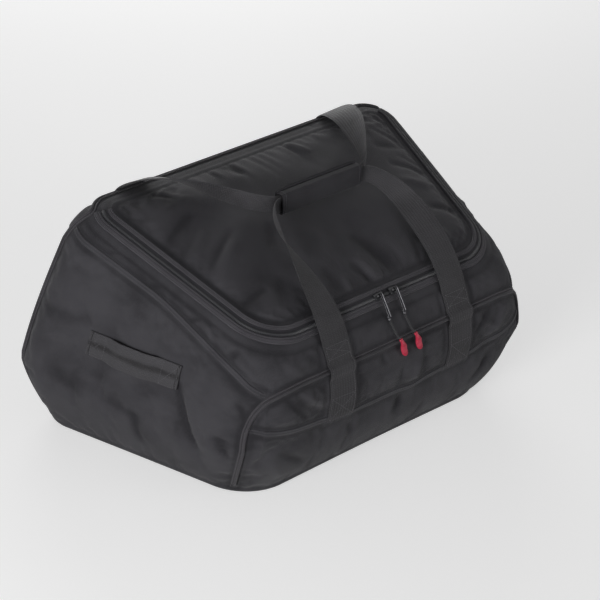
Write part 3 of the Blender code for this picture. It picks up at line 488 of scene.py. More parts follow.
def places_around(find_around, x, ups):
    """Around of the points at each x and up, on the panel that find_around is for."""
    x, ups = np.broadcast_arrays(x, ups)
    found = [find_around(*pair) for pair in zip(x.ravel(), ups.ravel())]
    return np.reshape(found, x.shape)


def level_up(around, height):
    """The share between the lower seam and the shoulder that lies at a height."""
    low = ring_point(LOWER_SEAM, around)[..., 2]
    high = ring_point(SHOULDER, around)[..., 2]
    return 1 + (height - low) / (high - low)


def zip_run(count):
    """Places along the zip: up the left side, round the front and down the right side."""
    return np.linspace(3 + ZIP_END_SHORT, 6 - ZIP_END_SHORT, count)


def linear(text):
    """An sRGB hex value as linear red, green, blue and alpha."""
    values = np.array([int(text[i:i + 2], 16) for i in (1, 3, 5)]) / 255
    values = np.where(values < 0.04045, values / 12.92, ((values + 0.055) / 1.055) ** 2.4)
    return (*values.tolist(), 1.0)


def add_node(tree, kind, links=None, stops=None, **settings):
    """Adds a node: settings are its properties, and links gives each input a value or an output."""
    made = tree.nodes.new("ShaderNode" + kind)
    for name, value in settings.items():
        setattr(made, name, value)
    for name, value in (links or {}).items():
        if isinstance(value, bpy.types.NodeSocket):
            tree.links.new(value, made.inputs[name])
        else:
            made.inputs[name].default_value = value
    if stops:
        for element, (position, colour) in zip(made.color_ramp.elements, stops):
            element.position = position
            element.color = linear(colour)
    return made


def new_material(name, **values):
    """A Principled material whose uniform values sit on the shader's own sockets."""
    made = bpy.data.materials.new(name)
    made.use_nodes = True
    shader = made.node_tree.nodes["Principled BSDF"]
    for key, value in values.items():
        shader.inputs[key.replace("_", " ").title().replace("Ior", "IOR")].default_value = value
    return made, made.node_tree, shader


def toned(tree, shader, source, stops, height, strength, distance, wear_and_painted_light=None):
    """Gives the shader a tone that follows one pattern and a relief that follows another. Where
    the attribute of wear and painted light is 1, the tone is the one given for it."""
    colour = add_node(tree, "ValToRGB", {"Fac": source}, stops=stops).outputs["Color"]
    if wear_and_painted_light:
        wear_and_light_layer = add_node(tree, "Attribute", attribute_name="wear_and_painted_light").outputs["Fac"]
        colour = add_node(tree, "MixRGB", {
            "Fac": wear_and_light_layer, "Color1": colour, "Color2": linear(wear_and_painted_light)}).outputs["Color"]
    tree.links.new(colour, shader.inputs["Base Color"])
    bump = add_node(tree, "Bump", {"Height": height, "Strength": strength, "Distance": distance})
    tree.links.new(bump.outputs["Normal"], shader.inputs["Normal"])


def band_scale(period):
    """Scale of a wave texture, whose bands repeat each tau / 20 at scale 1."""
    return math.tau / 20 / period


def woven(name, light, dark, pitch, roughness, sheen, depth):
    """Cloth woven of two sets of threads: its height is the product of two sine waves on the UV
    map. Its tone wanders a little, and the attribute of wear and painted light adds to it: lighter
    where a ridge wears, and darker where shade is painted into valleys, grooves and furrows."""
    made, tree, shader = new_material(
        name, roughness=roughness, sheen_weight=sheen, sheen_roughness=0.45, specular_ior_level=0.25
    )
    place = add_node(tree, "UVMap", uv_map="cloth").outputs["UV"]
    wave = {"Vector": place, "Scale": band_scale(pitch), "Distortion": 0.6, "Detail": 1.0,
            "Detail Scale": 0.4}
    warp, weft = (
        add_node(tree, "TexWave", wave, bands_direction=way).outputs["Fac"] for way in "XY"
    )
    thread = add_node(tree, "Math", {0: warp, 1: weft}, operation="MULTIPLY").outputs["Value"]
    patch = add_node(tree, "TexNoise", {"Vector": place, "Scale": 14.0, "Detail": 4.0,
                                        "Roughness": 0.55})
    slub = add_node(tree, "TexNoise", {"Vector": place, "Scale": 700.0, "Detail": 2.0})
    wear_and_painted_light = add_node(tree, "Attribute", attribute_name="wear_and_painted_light")
    total = patch.outputs["Fac"]
    for source, share in ((slub.outputs["Fac"], 0.7), (thread, 0.25), (wear_and_painted_light.outputs["Fac"], 1.0)):
        total = add_node(tree, "Math", {0: source, 1: share, 2: total},
                         operation="MULTIPLY_ADD").outputs["Value"]
    height = add_node(tree, "Math", {0: slub.outputs["Fac"], 1: 0.5, 2: thread},
                      operation="MULTIPLY_ADD").outputs["Value"]
    toned(tree, shader, total, [(0.62, dark), (1.15, light)], height, depth, 0.0006)
    return made


def speckled(name, light, dark, size, depth, bright=None, **values):
    """A hard surface whose tone and height follow fine noise of a given grain size. Where the
    attribute of wear and painted light is 1, it takes the bright tone, for edge wear and for
    painted highlights."""
    made, tree, shader = new_material(name, **values)
    place = add_node(tree, "TexCoord").outputs["Object"]
    grain = add_node(tree, "TexNoise", {"Vector": place, "Scale": 1 / size, "Detail": 5.0})
    grain = grain.outputs["Fac"]
    toned(tree, shader, grain, [(0.3, dark), (0.7, light)], grain, depth, 0.0003, bright)
    return made


def braided(name, light, dark, pitch):
    """Round braid: two sets of slanting bands on the UV map, crossed, with a matt sheen."""
    made, tree, shader = new_material(name, roughness=0.7, sheen_weight=0.2)
    place = add_node(tree, "UVMap", uv_map="cloth").outputs["UV"]
    bands = {}
    for band, angle in enumerate((BRAID_ANGLE, -BRAID_ANGLE)):
        turned = add_node(tree, "Mapping", {"Vector": place, "Rotation": (0, 0, angle)})
        bands[band] = add_node(tree, "TexWave", {
            "Vector": turned.outputs["Vector"], "Scale": band_scale(pitch)}).outputs["Fac"]
    both = add_node(tree, "Math", bands, operation="MULTIPLY").outputs["Value"]
    toned(tree, shader, both, [(0.1, dark), (0.7, light)], both, 0.8, 0.0004)
    return made


def make_mesh(name, points, faces, finish, corner_uv=None, body="root", sharp=35, wear_and_painted_light=None):
    """Puts whole arrays into a mesh object at the origin, with its UV map in metres."""
    mesh = bpy.data.meshes.new(name)
    if isinstance(faces, np.ndarray):
        faces = faces.tolist()
    mesh.from_pydata(np.asarray(points, float).reshape(-1, 3).tolist(), [], faces)
    if corner_uv is not None:
        layer = mesh.uv_layers.new(name="cloth")
        layer.data.foreach_set("uv", np.ascontiguousarray(corner_uv, np.float32).ravel())
    if wear_and_painted_light is not None:
        wear_and_light_layer = mesh.attributes.new("wear_and_painted_light", "FLOAT", "POINT")
        wear_and_light_layer.data.foreach_set("value", np.ascontiguousarray(wear_and_painted_light, np.float32).ravel())
    mesh.materials.append(finish)
    mesh.shade_smooth()
    mesh.set_sharp_from_angle(angle=math.radians(sharp))
    piece = bpy.data.objects.new(name, mesh)
    bpy.context.scene.collection.objects.link(piece)
    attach(piece, body)
    return piece


def stands_for(node):
    """Hides the node of the part that a piece replaces."""
    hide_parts(node)


def along(points):
    """Distance run along a path, from 0."""
    steps = np.linalg.norm(np.diff(points, axis=0), axis=-1)
    return np.concatenate([[0], np.cumsum(steps)])


def closed(grid):
    """A grid with its first column once more at its end."""
    return np.concatenate([grid, grid[:, :1]], axis=1)


def cells(grid):
    """The four corners of each cell of a grid, going round it."""
    return np.stack([grid[:-1, :-1], grid[:-1, 1:], grid[1:, 1:], grid[1:, :-1]], axis=2)


def grid_uv(u, v):
    """UV of the corners of each cell, with u from its columns and v from its rows."""
    grid = np.stack(np.broadcast_arrays(u[None, :], v[:, None]), axis=-1)
    return cells(grid).reshape(-1, 4, 2)


def skinned(name, loops, finish, body="root", sharp=35, wear_and_painted_light=None):
    """Closed body through loops of as many points each, with a fan of triangles at both ends. Its
    u runs round a loop and its v along the middle of them."""
    loops = np.asarray(loops, float)
    stations, count = loops.shape[:2]
    faces = cells(closed(np.arange(stations * count).reshape(stations, count))).reshape(-1, 4)
    uv = grid_uv(along(closed(loops)[stations // 2]), along(loops.mean(axis=1)))
    points = np.concatenate([loops.reshape(-1, 3), loops[[0, -1]].mean(axis=1)])
    here = np.arange(count)
    following = (here + 1) % count
    last = (stations - 1) * count
    fans = [
        np.stack([following, here, np.full(count, stations * count)], axis=1),
        np.stack([here + last, following + last, np.full(count, stations * count + 1)], axis=1),
    ]
    if signed_volume(points, faces) < 0:
        faces, uv = faces[:, ::-1], uv[:, ::-1]
        fans = [fan[:, ::-1] for fan in fans]
    corner_uv = np.concatenate([uv.reshape(-1, 2), np.zeros((6 * count, 2))])
    if wear_and_painted_light is not None:
        wear_and_painted_light = np.concatenate([np.broadcast_to(wear_and_painted_light, (stations, count)).ravel(), [0, 0]])
    faces = faces.tolist() + fans[0].tolist() + fans[1].tolist()
    return make_mesh(name, points, faces, finish, corner_uv, body, sharp, wear_and_painted_light)


def signed_volume(points, quads):
    """Sum of the tetrahedra from the points' middle to each face's halves."""
    a, b, c, d = np.moveaxis((points - points.mean(axis=0))[quads], 1, 0)
    return (a * np.cross(b, c)).sum() + (a * np.cross(c, d)).sum()


def ribbon(name, middle, normals, thickness, finish, body="root", edge=0.45, wear_and_painted_light=None):
    """A flat band: its middle sheet moved half its thickness to each side, less at both edges."""
    middle = np.asarray(middle, float)
    share = np.linspace(-1, 1, middle.shape[1])
    half = thickness / 2 * (edge + (1 - edge) * (1 - np.abs(share) ** 8))
    out = normals * half[None, :, None]
    loops = np.concatenate([middle - out, (middle + out)[:, ::-1]], axis=1)
    if wear_and_painted_light is not None:
        wear_and_painted_light = np.concatenate([wear_and_painted_light, wear_and_painted_light[:, ::-1]], axis=1)
    return skinned(name, loops, finish, body, 60, wear_and_painted_light)


def columns(finer):
    """Columns of the shell's grid along the front or rear, and along a side."""
    return FRONT_COLUMNS * finer, SIDE_COLUMNS * finer


def shell_grid(finer):
    """Places of the wall's columns and rows: around along the ring, and up, which goes on past 3
    over the zip's seat (3 to 4) and below 0 round the bottom edge (-1 to 0)."""
    around = np.concatenate([
        start + np.arange(count) / count for start, count in enumerate(columns(finer) * 2)
    ])
    ups = [np.linspace(-1, 0, 3 * finer + 1)[:-1]]
    ups += [
        start + np.arange(rows * finer) / (rows * finer) for start, rows in enumerate(PANEL_ROWS)
    ]
    ups.append(np.linspace(3, 4, 2 * finer + 1))
    return around, np.concatenate(ups)


def wall_points(around, up):
    """The wall: a quarter ellipse round the bottom edge, the shell, and the zip's seat."""
    ring, level = np.meshgrid(around, up)
    points, normals = shell_point(ring, np.clip(level, 0, 3))
    seat = level > 3
    points[seat] = zip_place(ring[seat], ((level[seat] - 3) * 2 - 1) * ZIP_SEAT_HALF)
    under = level < 0
    base = ring_point(BASE, ring[under])
    centre = np.array([0, (BASE.front_y + BASE.rear_y) / 2, base[0, 2]])
    angle = (level[under] + 1) * math.pi / 2
    base += unit((centre - base) * (1, 1, 0)) * (BASE_EDGE * (1 - np.sin(angle)))[:, None]
    base[:, 2] *= 1 - np.cos(angle)
    points[under] = base
    normals[seat] = zip_frame(ring[seat])[3]
    return points, normals


def ring_edges(ring, front, side):
    """A ring's four sides as the low, right, high and left edges of the cap that it bounds."""
    half = front + side
    return (ring[: front + 1], ring[front: half + 1], ring[half: half + front + 1][::-1],
            np.concatenate([ring[half + front:], ring[:1]])[::-1])


def framed(ring, front, side, inside):
    """A cap's grid, with the ring on its edges and the others inside."""
    grid = np.zeros((front + 1, side + 1) + ring.shape[1:], ring.dtype)
    grid[:, 0], grid[-1], grid[:, -1], grid[0] = ring_edges(ring, front, side)
    grid[1:-1, 1:-1] = inside.reshape((front - 1, side - 1) + ring.shape[1:])
    return grid


def coons(ring, front, side):
    """Surface between four boundary curves: the two ruled ones added, less the bilinear one."""
    low, right, high, left = ring_edges(ring, front, side)
    s = np.linspace(0, 1, front + 1)[:, None, None]
    t = np.linspace(0, 1, side + 1)[None, :, None]
    ruled = (1 - t) * low[:, None] + t * high[:, None] + (1 - s) * left[None] + s * right[None]
    corners = (1 - s) * ((1 - t) * low[0] + t * high[0]) + s * ((1 - t) * low[-1] + t * high[-1])
    return ruled - corners


def shell_faces(finer, rows):
    """Quads of the wall, the lid and the base, which share the points of their common rings."""
    front, side = columns(finer)
    count = 2 * (front + side)
    inner = (front - 1) * (side - 1)
    index = np.arange(rows * count).reshape(rows, count)
    lid, base = (
        cells(framed(ring, front, side, start + np.arange(inner))).reshape(-1, 4)
        for ring, start in ((index[-1], rows * count), (index[0], rows * count + inner))
    )
    return cells(closed(index)).reshape(-1, 4), lid[:, [0, 3, 2, 1]], base[:, [1, 2, 3, 0]]


def shell_surface(finer):
    """Points and normals of the whole shell: the wall, then the inner points of lid and base."""
    around, up = shell_grid(finer)
    wall, normals = wall_points(around, up)
    front, side = columns(finer)
    lid = coons(wall[-1], front, side)
    lid[..., 2] = lid_height(lid[..., :2])
    base = coons(wall[0], front, side)
    lid_out = unit(np.cross(np.gradient(lid, axis=0), np.gradient(lid, axis=1)))
    down = np.broadcast_to([0, 0, -1.0], base.shape)
    points, out = (
        np.concatenate([part.reshape(-1, 3) for part in (first, top[1:-1, 1:-1], low[1:-1, 1:-1])])
        for first, top, low in ((wall, lid, base), (normals, lid_out, down))
    )
    return around, up, points, out


def distance_to(points, line):
    """Distance from each point to the nearest of the line's points, a few thousand at a time."""
    return np.concatenate([
        np.sqrt(((part[:, None] - line[None]) ** 2).sum(axis=-1).min(axis=1))
        for part in np.array_split(points, max(1, len(points) // 2000))
    ])


def sewn_lines():
    """Points of all that is sewn down: the zip, the piping, the seams and the straps."""
    ring = np.linspace(0, 4, 400)
    lines = [shell_point(ring, level)[0] for level in (2.9, 3.0)]
    lines.append(zip_place(ring, ZIP_SEAT_HALF))
    for around, up in (
        front_piping_places(), rear_piping_places(), end_seam_places(-1), end_seam_places(1),
        front_seam_places(), rear_seam_places(),
    ):
        lines.append(shell_point(around, up)[0])
    ups = np.linspace(1.0, STRAP_SEWN_TO, 40)
    for x, find_around in ((FRONT_STRAP_X, front_around), (REAR_STRAP_X, rear_around)):
        for hand in (-1, 1):
            for offset in np.linspace(-0.5, 0.5, 5) * WEBBING_WIDTH:
                around = places_around(find_around, hand * x + offset, ups)
                lines.append(shell_point(around, ups)[0])
    return np.concatenate(lines)


def hold_weights(points):
    """How firmly the cloth is held: 1 at what is sewn and on the floor, less at a seam between two
    panels, and 0 where it is free."""
    held = 1 - smooth((distance_to(points, sewn_lines()) - 0.004) / 0.020)
    ring = np.linspace(0, 4, 400)
    for level, strength in ((2.0, 0.75), (1.0, 0.7)):
        away = distance_to(points, shell_point(ring, level)[0])
        held = np.maximum(held, strength * (1 - smooth(away / 0.014)))
    for hand in (-1, 1):
        around, bow, up = handle_places(hand)
        sewn = bow < SEWN_BOW
        patch = shell_point(around[sewn][:, None], up[sewn])[0].reshape(-1, 3)
        held = np.maximum(held, 1 - smooth((distance_to(points, patch) - 0.006) / 0.02))
    return np.where(points[:, 2] < 0.02, 1.0, held)


def settled(points, faces, held):
    """Where cloth cut a little too large comes to rest under the pressure of the filling."""
    mesh = bpy.data.meshes.new("cloth_guide")
    mesh.from_pydata(points.tolist(), [], faces.tolist())
    guide = bpy.data.objects.new("cloth_guide", mesh)
    scene = bpy.context.scene
    scene.collection.objects.link(guide)
    group = guide.vertex_groups.new(name="held")
    levels = np.round(held * 10).astype(int)
    for level in range(1, 11):
        group.add(np.flatnonzero(levels == level).tolist(), level / 10, "REPLACE")
    cloth = guide.modifiers.new("cloth", "CLOTH")
    for name, value in CLOTH.items():
        setattr(cloth.settings, name, value)
    cloth.settings.effector_weights.gravity = 0
    cloth.point_cache.frame_end = CLOTH_FRAMES
    for number in range(1, CLOTH_FRAMES + 1):
        scene.frame_set(number)
    evaluated = guide.evaluated_get(bpy.context.evaluated_depsgraph_get()).data
    rest = np.zeros(len(points) * 3, np.float32)
    evaluated.vertices.foreach_get("co", rest)
    scene.frame_set(1)
    bpy.data.objects.remove(guide)
    return rest.reshape(-1, 3).astype(float)


def finer_matrix(count, closed):
    """Weights that place a point half way between each two, by a cubic through the four nearest."""
    rows = 2 * count if closed else 2 * count - 1
    matrix = np.zeros((rows, count))
    matrix[np.arange(count) * 2, np.arange(count)] = 1
    for i in range(1, rows, 2):
        near = [i // 2 - 1, i // 2, i // 2 + 1, i // 2 + 2]
        near = [n % count for n in near] if closed else np.clip(near, 0, count - 1)
        for place, weight in zip(near, (-0.0625, 0.5625, 0.5625, -0.0625)):
            matrix[i, place] += weight
    return matrix


def denser(grid, is_ring):
    """Moves on a grid with a row and a column more between each two; a ring's columns close."""
    grid = np.einsum("ab,bcd->acd", finer_matrix(len(grid), False), grid)
    return np.einsum("ab,cbd->cad", finer_matrix(grid.shape[1], is_ring), grid)


def refined(moves, rows):
    """The coarse grid's moves on the finer grid: wall, lid and base in the order of the points."""
    front, side = columns(1)
    wall_count = rows * 2 * (front + side)
    inner = (front - 1) * (side - 1)
    wall = moves[:wall_count].reshape(rows, -1, 3)
    parts = [denser(wall, True).reshape(-1, 3)]
    for start, ring in ((wall_count, wall[-1]), (wall_count + inner, wall[0])):
        grid = denser(framed(ring, front, side, moves[start: start + inner]), False)
        parts.append(grid[1:-1, 1:-1].reshape(-1, 3))
    return np.concatenate(parts)


def shell_uv(around, up, points, faces):
    """UV in metres: round the ring and up the wall; x and y on the lid and the base."""
    _, lid, base = faces
    ring = points[: len(up) * len(around)].reshape(len(up), len(around), 3)
    wall_uv = grid_uv(along(closed(ring)[len(up) // 2]), along(ring[:, len(around) // 2]))
    return np.concatenate([wall_uv, points[lid][..., :2], points[base][..., :2]])


def folds_on_all(around, up, points, on_side, on_lid, depth, taper):
    """Height of the folds at the points of the wall, the lid and the base, in their order."""
    places = np.stack(np.meshgrid(around, up), axis=-1)
    wall = fold_height(places, on_side, WALL_SCALE, depth, taper)
    caps = points[wall.size:]
    lid = fold_height(caps[:, :2], on_lid, (1, 1), depth, taper)
    return np.concatenate([wall.ravel(), np.where(caps[:, 2] > BASE.front_z, lid, 0)])


def pull_room(points):
    """1 on the front where the pulls slide, falling to 0 beside and below."""
    beside = 1 - smooth((np.abs(points[:, 0]) - PULL_FIELD_HALF) / 0.020)
    above = smooth((points[:, 2] - PULL_FIELD_LOW) / 0.015)
    return beside * above * (points[:, 1] < FRONT_Y + PULL_FIELD_DEEP)


def bag_shell(finish):
    """The shell: its surface, moved by the cloth's settling, which is capped and ends at what is
    sewn, and by sharp creases, with a furrow beside what is sewn."""
    around, up, coarse, _ = shell_surface(1)
    moves = np.zeros(coarse.shape)
    faces = np.concatenate(shell_faces(1, len(up)))
    moves = settled(coarse, faces, hold_weights(coarse)) - coarse
    moves = refined(moves, len(up))
    around, up, points, out = shell_surface(FINER)
    away = distance_to(points, sewn_lines())
    free = smooth((away - 0.003) / 0.016)
    pucker = np.exp(-(((away - PUCKER_AT) / PUCKER_WIDTH) ** 2))
    size = np.linalg.norm(moves, axis=1, keepdims=True)
    moves *= MOST_MOVE / np.maximum(size, 1e-9) * np.tanh(size / MOST_MOVE)
    puff = (moves * out).sum(axis=1)
    crease, fold = (
        free * folds_on_all(around, up, points, on_side, on_lid, depth, taper)
        for on_side, on_lid, depth, taper in (
            (SIDE_CREASES, LID_CREASES, CREASE_DEPTH, True),
            (SIDE_FOLDS, LID_FOLDS, FOLD_DEPTH, False),
        )
    )
    fold += free * puff
    rise = crease - PUCKER_DEPTH * pucker
    # The cloth doesn't rise where the cords and their ends lie on it and slide along
    rise -= np.maximum(free * puff + rise, 0) * pull_room(points)
    points = points + moves * free[:, None] + out * rise[:, None]
    points[:, 2] = np.maximum(points[:, 2], 0)
    faces = shell_faces(FINER, len(up))
    uv = shell_uv(around, up, points, faces)
    # Ridges of creases and folds are paler with wear; their valleys and the furrow beside what is
    # sewn are painted darker, as painted shade
    wear_and_painted_light = np.clip(crease * CREASE_WEAR_AND_SHADE + fold * FOLD_WEAR_AND_SHADE, -0.34, 0.36) - PUCKER_SHADE * pucker
    piece = make_mesh("bag_shell", points, np.concatenate(faces), finish, uv, sharp=80, wear_and_painted_light=wear_and_painted_light)
    stands_for("bag_body")


def piping_path(corner, turn):
    """Up a corner of a panel, rounded over into its shoulder seam: (around, up) pairs."""
    start = corner - turn * PIPING_CORNER_BACK
    rise = np.linspace(PIPING_START_UP, PIPING_BEND_UP, 24)
    angles = np.linspace(0, math.pi / 2, 40)[1:]
    around = start + turn * PIPING_CORNER_RUN * (1 - np.cos(angles))
    up = PIPING_BEND_UP + (2 - PIPING_BEND_UP) * np.sin(angles)
    return np.concatenate([np.full(rise.shape, start), around]), np.concatenate([rise, up])


def front_piping_places():
    """Places of the front piping: up one corner, along the shoulder seam and down the other."""
    around, up = piping_path(0.0, 1)
    across = np.linspace(around[-1], 1 - around[-1], 120)[1:-1]
    around_all = np.concatenate([around, across, 1 - around[::-1]])
    return around_all, np.concatenate([up, np.full(across.shape, 2.0), up[::-1]])


def rear_piping_places():
    """Places of the rear piping: up one rear corner, below the zip and down the other corner."""
    low = np.linspace(PIPING_START_UP, PIPING_REAR_UP - 0.04, 80)
    across = np.linspace(2, 3, 200)[1:-1]
    around = np.concatenate([np.full(low.shape, 2.0), across, np.full(low.shape, 3.0)])
    return around, np.concatenate([low, np.full(across.shape, PIPING_REAR_UP), low[::-1]])


def swept(centre, side, out, profile):
    """A profile carried along a path, which narrows and sinks over a short way at both ends."""
    run_length = along(centre)
    to_end = np.minimum(run_length, run_length[-1] - run_length)
    whole = smooth(to_end / SEAM_END)[:, None, None]
    across = profile[:, :1] * (SEAM_END_WIDTH + (1 - SEAM_END_WIDTH) * whole)
    height = profile[:, 1:] * whole - SEAM_SINK * (1 - whole)
    return centre[:, None] + side[:, None] * across + out[:, None] * height


def piping(name, places, node, finish):
    """A cord in a folded strip: a circle with a flat lip on one side, carried along the seam."""
    centre, normal = shell_point(*places)
    run, side = across_path(centre, normal)
    bead = circle(np.linspace(math.radians(-40), math.radians(220), 13)) * PIPING_RADIUS
    bead[:, 1] += PIPING_RADIUS * 0.75
    profile = np.concatenate([
        [(PIPING_LIP, -0.0004), (PIPING_LIP, 0.0004), (PIPING_LIP - 0.0006, 0.0010),
         (PIPING_RADIUS * 1.25, 0.0008)], bead,
        [(-PIPING_RADIUS * 1.2, 0.0002), (-PIPING_RADIUS * 1.3, -0.0008)],
    ])
    piece = skinned(name, swept(centre, side, np.cross(run, side), profile), finish, sharp=70)
    stands_for(node)


def stitches(name, rows, finish):
    """Rows of thread: a small bar with sunk ends at every pitch along each path. Thread and pitch
    are drawn a little coarser than the real 0.5 mm and 3 mm, so that they show."""
    template, quads = bar_shape([(-0.5, 0.0001, -0.0003), (-0.36, STITCH_RADIUS, 0.0),
                                 (0.36, STITCH_RADIUS, 0.0), (0.5, 0.0001, -0.0003)], 5)
    places, axes = [], []
    for points, normals in rows:
        run_length = along(points)
        at = np.arange(0.5, int(run_length[-1] / STITCH_PITCH)) * STITCH_PITCH
        place, run, out = (
            resampled(at, run_length, part)
            for part in (points, unit(np.gradient(points, axis=0)), normals)
        )
        places.append(place)
        axes.append(np.stack([run * STITCH_LENGTH, unit(np.cross(out, run)), out], axis=1))
    copies(name, template, quads, np.concatenate(places), np.concatenate(axes), finish)


def end_seam_places(hand):
    """The seam of an end panel: below the zip at the rear, down to the front piping's bend."""
    around = np.linspace(3.004, 3.998, 160)
    up = np.interp(around, SEAM_AROUND, SEAM_UP)
    up = np.convolve(np.pad(up, 12, mode="edge"), np.ones(25) / 25, mode="valid")
    return (around if hand < 0 else (1 - around) % 4), up


def front_seam_places():
    """The seam low on the front, which rises towards both corners."""
    around = np.linspace(-0.048, 1.048, 200)
    near = np.clip((0.40 - np.minimum(around, 1 - around)) / 0.43, 0, 1)
    return around, 1 + 0.30 * near ** 1.3


def rear_seam_places():
    """The seam low on the rear, between the two pipings."""
    around = np.linspace(2.006, 2.994, 200)
    return around, np.ones(around.shape)


def seams(cloth, thread):
    """Felled seams: a strip whose one edge stands up as a fold, sewn down with two rows."""
    rows = []
    for name, places in (
        ("end_seam_left", end_seam_places(-1)), ("end_seam_right", end_seam_places(1)),
        ("front_seam", front_seam_places()), ("rear_seam", rear_seam_places()),
    ):
        centre, normals = shell_point(*places)
        side = across_path(centre, normals)[1]
        if side[:, 2].mean() < 0:
            side = -side
        strip = skinned(name, swept(centre, side, normals, SEAM_PROFILE), cloth, sharp=40)
        rows += [(centre + side * across + normals * 0.0010, normals) for across in SEAM_ROWS]
    stitches("seam_stitches", rows, thread)


def leg_rows():
    """Rows on a sewn leg of a strap, as pairs of (across, up): both its edges, and a box with a
    cross at its lower end and at its upper end."""
    inset = WEBBING_WIDTH / 2 - STITCH_INSET
    rows = [((edge, LEG_LOW), (edge, LEG_HIGH)) for edge in (-inset, inset)]
    for low, high in ((LEG_LOW, LEG_LOW + LOW_BOX), (LEG_HIGH - HIGH_BOX, LEG_HIGH)):
        rows += [((-inset, level), (inset, level)) for level in (low, high)]
        rows += [((edge, low), (-edge, high)) for edge in (-inset, inset)]
    return rows


def webbing_stitches(thread):
    """The rows of each sewn leg, and a box with a cross at both ends of each handle."""
    rows = []
    share = np.linspace(0, 1, 60)
    for x, find_around, over in (
        (FRONT_STRAP_X, front_around, 1), (REAR_STRAP_X, rear_around, 0),
    ):
        for hand in (-1, 1):
            for (first, low), (second, high) in leg_rows():
                ups = low + (high - low) * share
                offsets = first + (second - first) * share
                around = places_around(find_around, hand * x + offsets, ups)
                points, normals = shell_point(around, ups)
                lift = GAP + WEBBING_THICKNESS + 0.0001 + over * over_piping(ups)
                rows.append((points + normals * lift[:, None], normals))
    share = np.linspace(0, 1, 24)[:, None]
    for hand in (-1, 1):
        around, bow, up = handle_places(hand)
        points, normals = shell_point(around[:, None], up)
        points = points + normals * (GAP + bow[:, None] + GRAB_THICKNESS)[..., None]
        sewn = np.flatnonzero(bow < SEWN_BOW)
        split = np.flatnonzero(np.diff(sewn) > 1)[0] + 1
        for part in (sewn[:split], sewn[split:]):
            a, b, c, d = (part[3], 1), (part[-4], 1), (part[-4], -2), (part[3], -2)
            for start, end in ((a, b), (b, c), (c, d), (d, a), (a, c), (d, b)):
                line, out = (
                    grid[start] + (grid[end] - grid[start]) * share for grid in (points, normals)
                )
                rows.append((line, unit(out)))
    stitches("webbing_stitches", rows, thread)


def edge_stitches(thread):
    """One row in the lip of each piping, and the rows of the two folded edges of the zip."""
    rows = []
    for places in (front_piping_places(), rear_piping_places()):
        centre, normals = shell_point(*places)
        side = across_path(centre, normals)[1]
        rows.append((centre + side * 0.0046 + normals * 0.0011, normals))
    stitches("piping_stitches", rows, thread)
    middle, _, inward, normal = zip_frame(zip_run(700))
    rows = [
        (middle + inward * side * row + normal * (WELT_TOP - 0.0003), normal)
        for _, side, _, sewn in ZIP_EDGES for row in sewn
    ]
    stitches("zip_stitches", rows, thread)


def zip_strip(name, node, across, heights, finish):
    """A strip along the zip whose profile of across and height is a closed loop."""
    middle, _, inward, normal = (part[:, None] for part in zip_frame(zip_run(420)))
    across, heights = np.asarray(across)[None, :, None], np.asarray(heights)[None, :, None]
    piece = skinned(name, middle + inward * across + normal * heights, finish, sharp=50)
    stands_for(node)


def zip_pieces(tape, cloth):
    """Both tapes of the zip, and the folded edge on each: its height is a flattened arch, with a
    groove where each row of thread pulls it down."""
    outer = ZIP_SEAT_HALF
    share = np.linspace(0, 1, 19)
    for edge, side, width, sewn in ZIP_EDGES:
        zip_strip("tape_on_" + edge, "zip_tape_" + edge,
                  [side * a for a in (0.0020, outer, outer, 0.0020)],
                  [0.0003, 0.0003, 0.0011, 0.0011], tape)
        fold = outer + 0.0015 - width * share
        height = WELT_TOP * (1 - (2 * share - 1) ** 6) ** 0.5
        for row in sewn:
            height = height - 0.0009 * np.exp(-((fold - row) / 0.0008) ** 2)
        zip_strip("folded_edge_on_" + edge, edge + "_welt",
                  side * np.concatenate([fold, [fold[-1], fold[0]]]),
                  np.concatenate([height, [0.0002, 0.0002]]), cloth)


def copies(name, template, quads, places, axes, finish):
    """One small shape at many places: its points are sums of the three axes there."""
    points = places[:, None] + np.einsum("kj,nji->nki", template, axes)
    faces = quads[None] + (np.arange(len(places)) * len(template))[:, None, None]
    piece = make_mesh(name, points, faces.reshape(-1, 4), finish, sharp=50)
    return piece


def bar_shape(stations, sides):
    """A closed bar along its first axis: loops at (along, size, height), with pinched ends."""
    ring = circle(np.arange(sides) * math.tau / sides)
    loops = [
        np.concatenate([np.full((sides, 1), at), ring * size + (0, rise)], axis=1)
        for at, size, rise in stations
    ]
    points = np.concatenate(loops)
    index = np.arange(len(points)).reshape(len(stations), sides)
    return points, cells(closed(index)).reshape(-1, 4)[:, [0, 3, 2, 1]]


def zip_coil(finish):
    """Two rows of bent nylon loops that mesh in the middle, half a pitch apart."""
    run_length = along(zip_frame(zip_run(2000))[0])
    count = int(run_length[-1] / COIL_PITCH)
    template, quads = bar_shape(
        [(-0.0031, 0.0002, 0.0012), (-0.0029, 0.0006, 0.0014), (-0.0010, 0.0007, 0.0022),
         (0.0004, 0.0008, 0.0023), (0.0011, 0.0006, 0.0019), (0.0012, 0.0001, 0.0017)], 6
    )
    places, axes = [], []
    for side, shift in ((1, 0.0), (-1, 0.5)):
        at = np.interp((np.arange(count) + shift) * COIL_PITCH, run_length, zip_run(2000))
        middle, run, inward, normal = zip_frame(at)
        places.append(middle)
        axes.append(np.stack([run * side, -inward * side, normal], axis=1))
    piece = copies("zip_coil", template[:, [1, 0, 2]], quads, np.concatenate(places),
                   np.concatenate(axes), finish)
    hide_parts("zip_chain")


def over_piping(up):
    """Extra height with which something lies over the piping in the front shoulder seam."""
    distance = np.abs(np.asarray(up, float) - 2) * (SHOULDER.front_z - LOWER_SEAM.front_z)
    near = smooth((PIPING_RISE - distance) / (PIPING_RISE - PIPING_TOP))
    return (2 * PIPING_RADIUS + GAP) * near


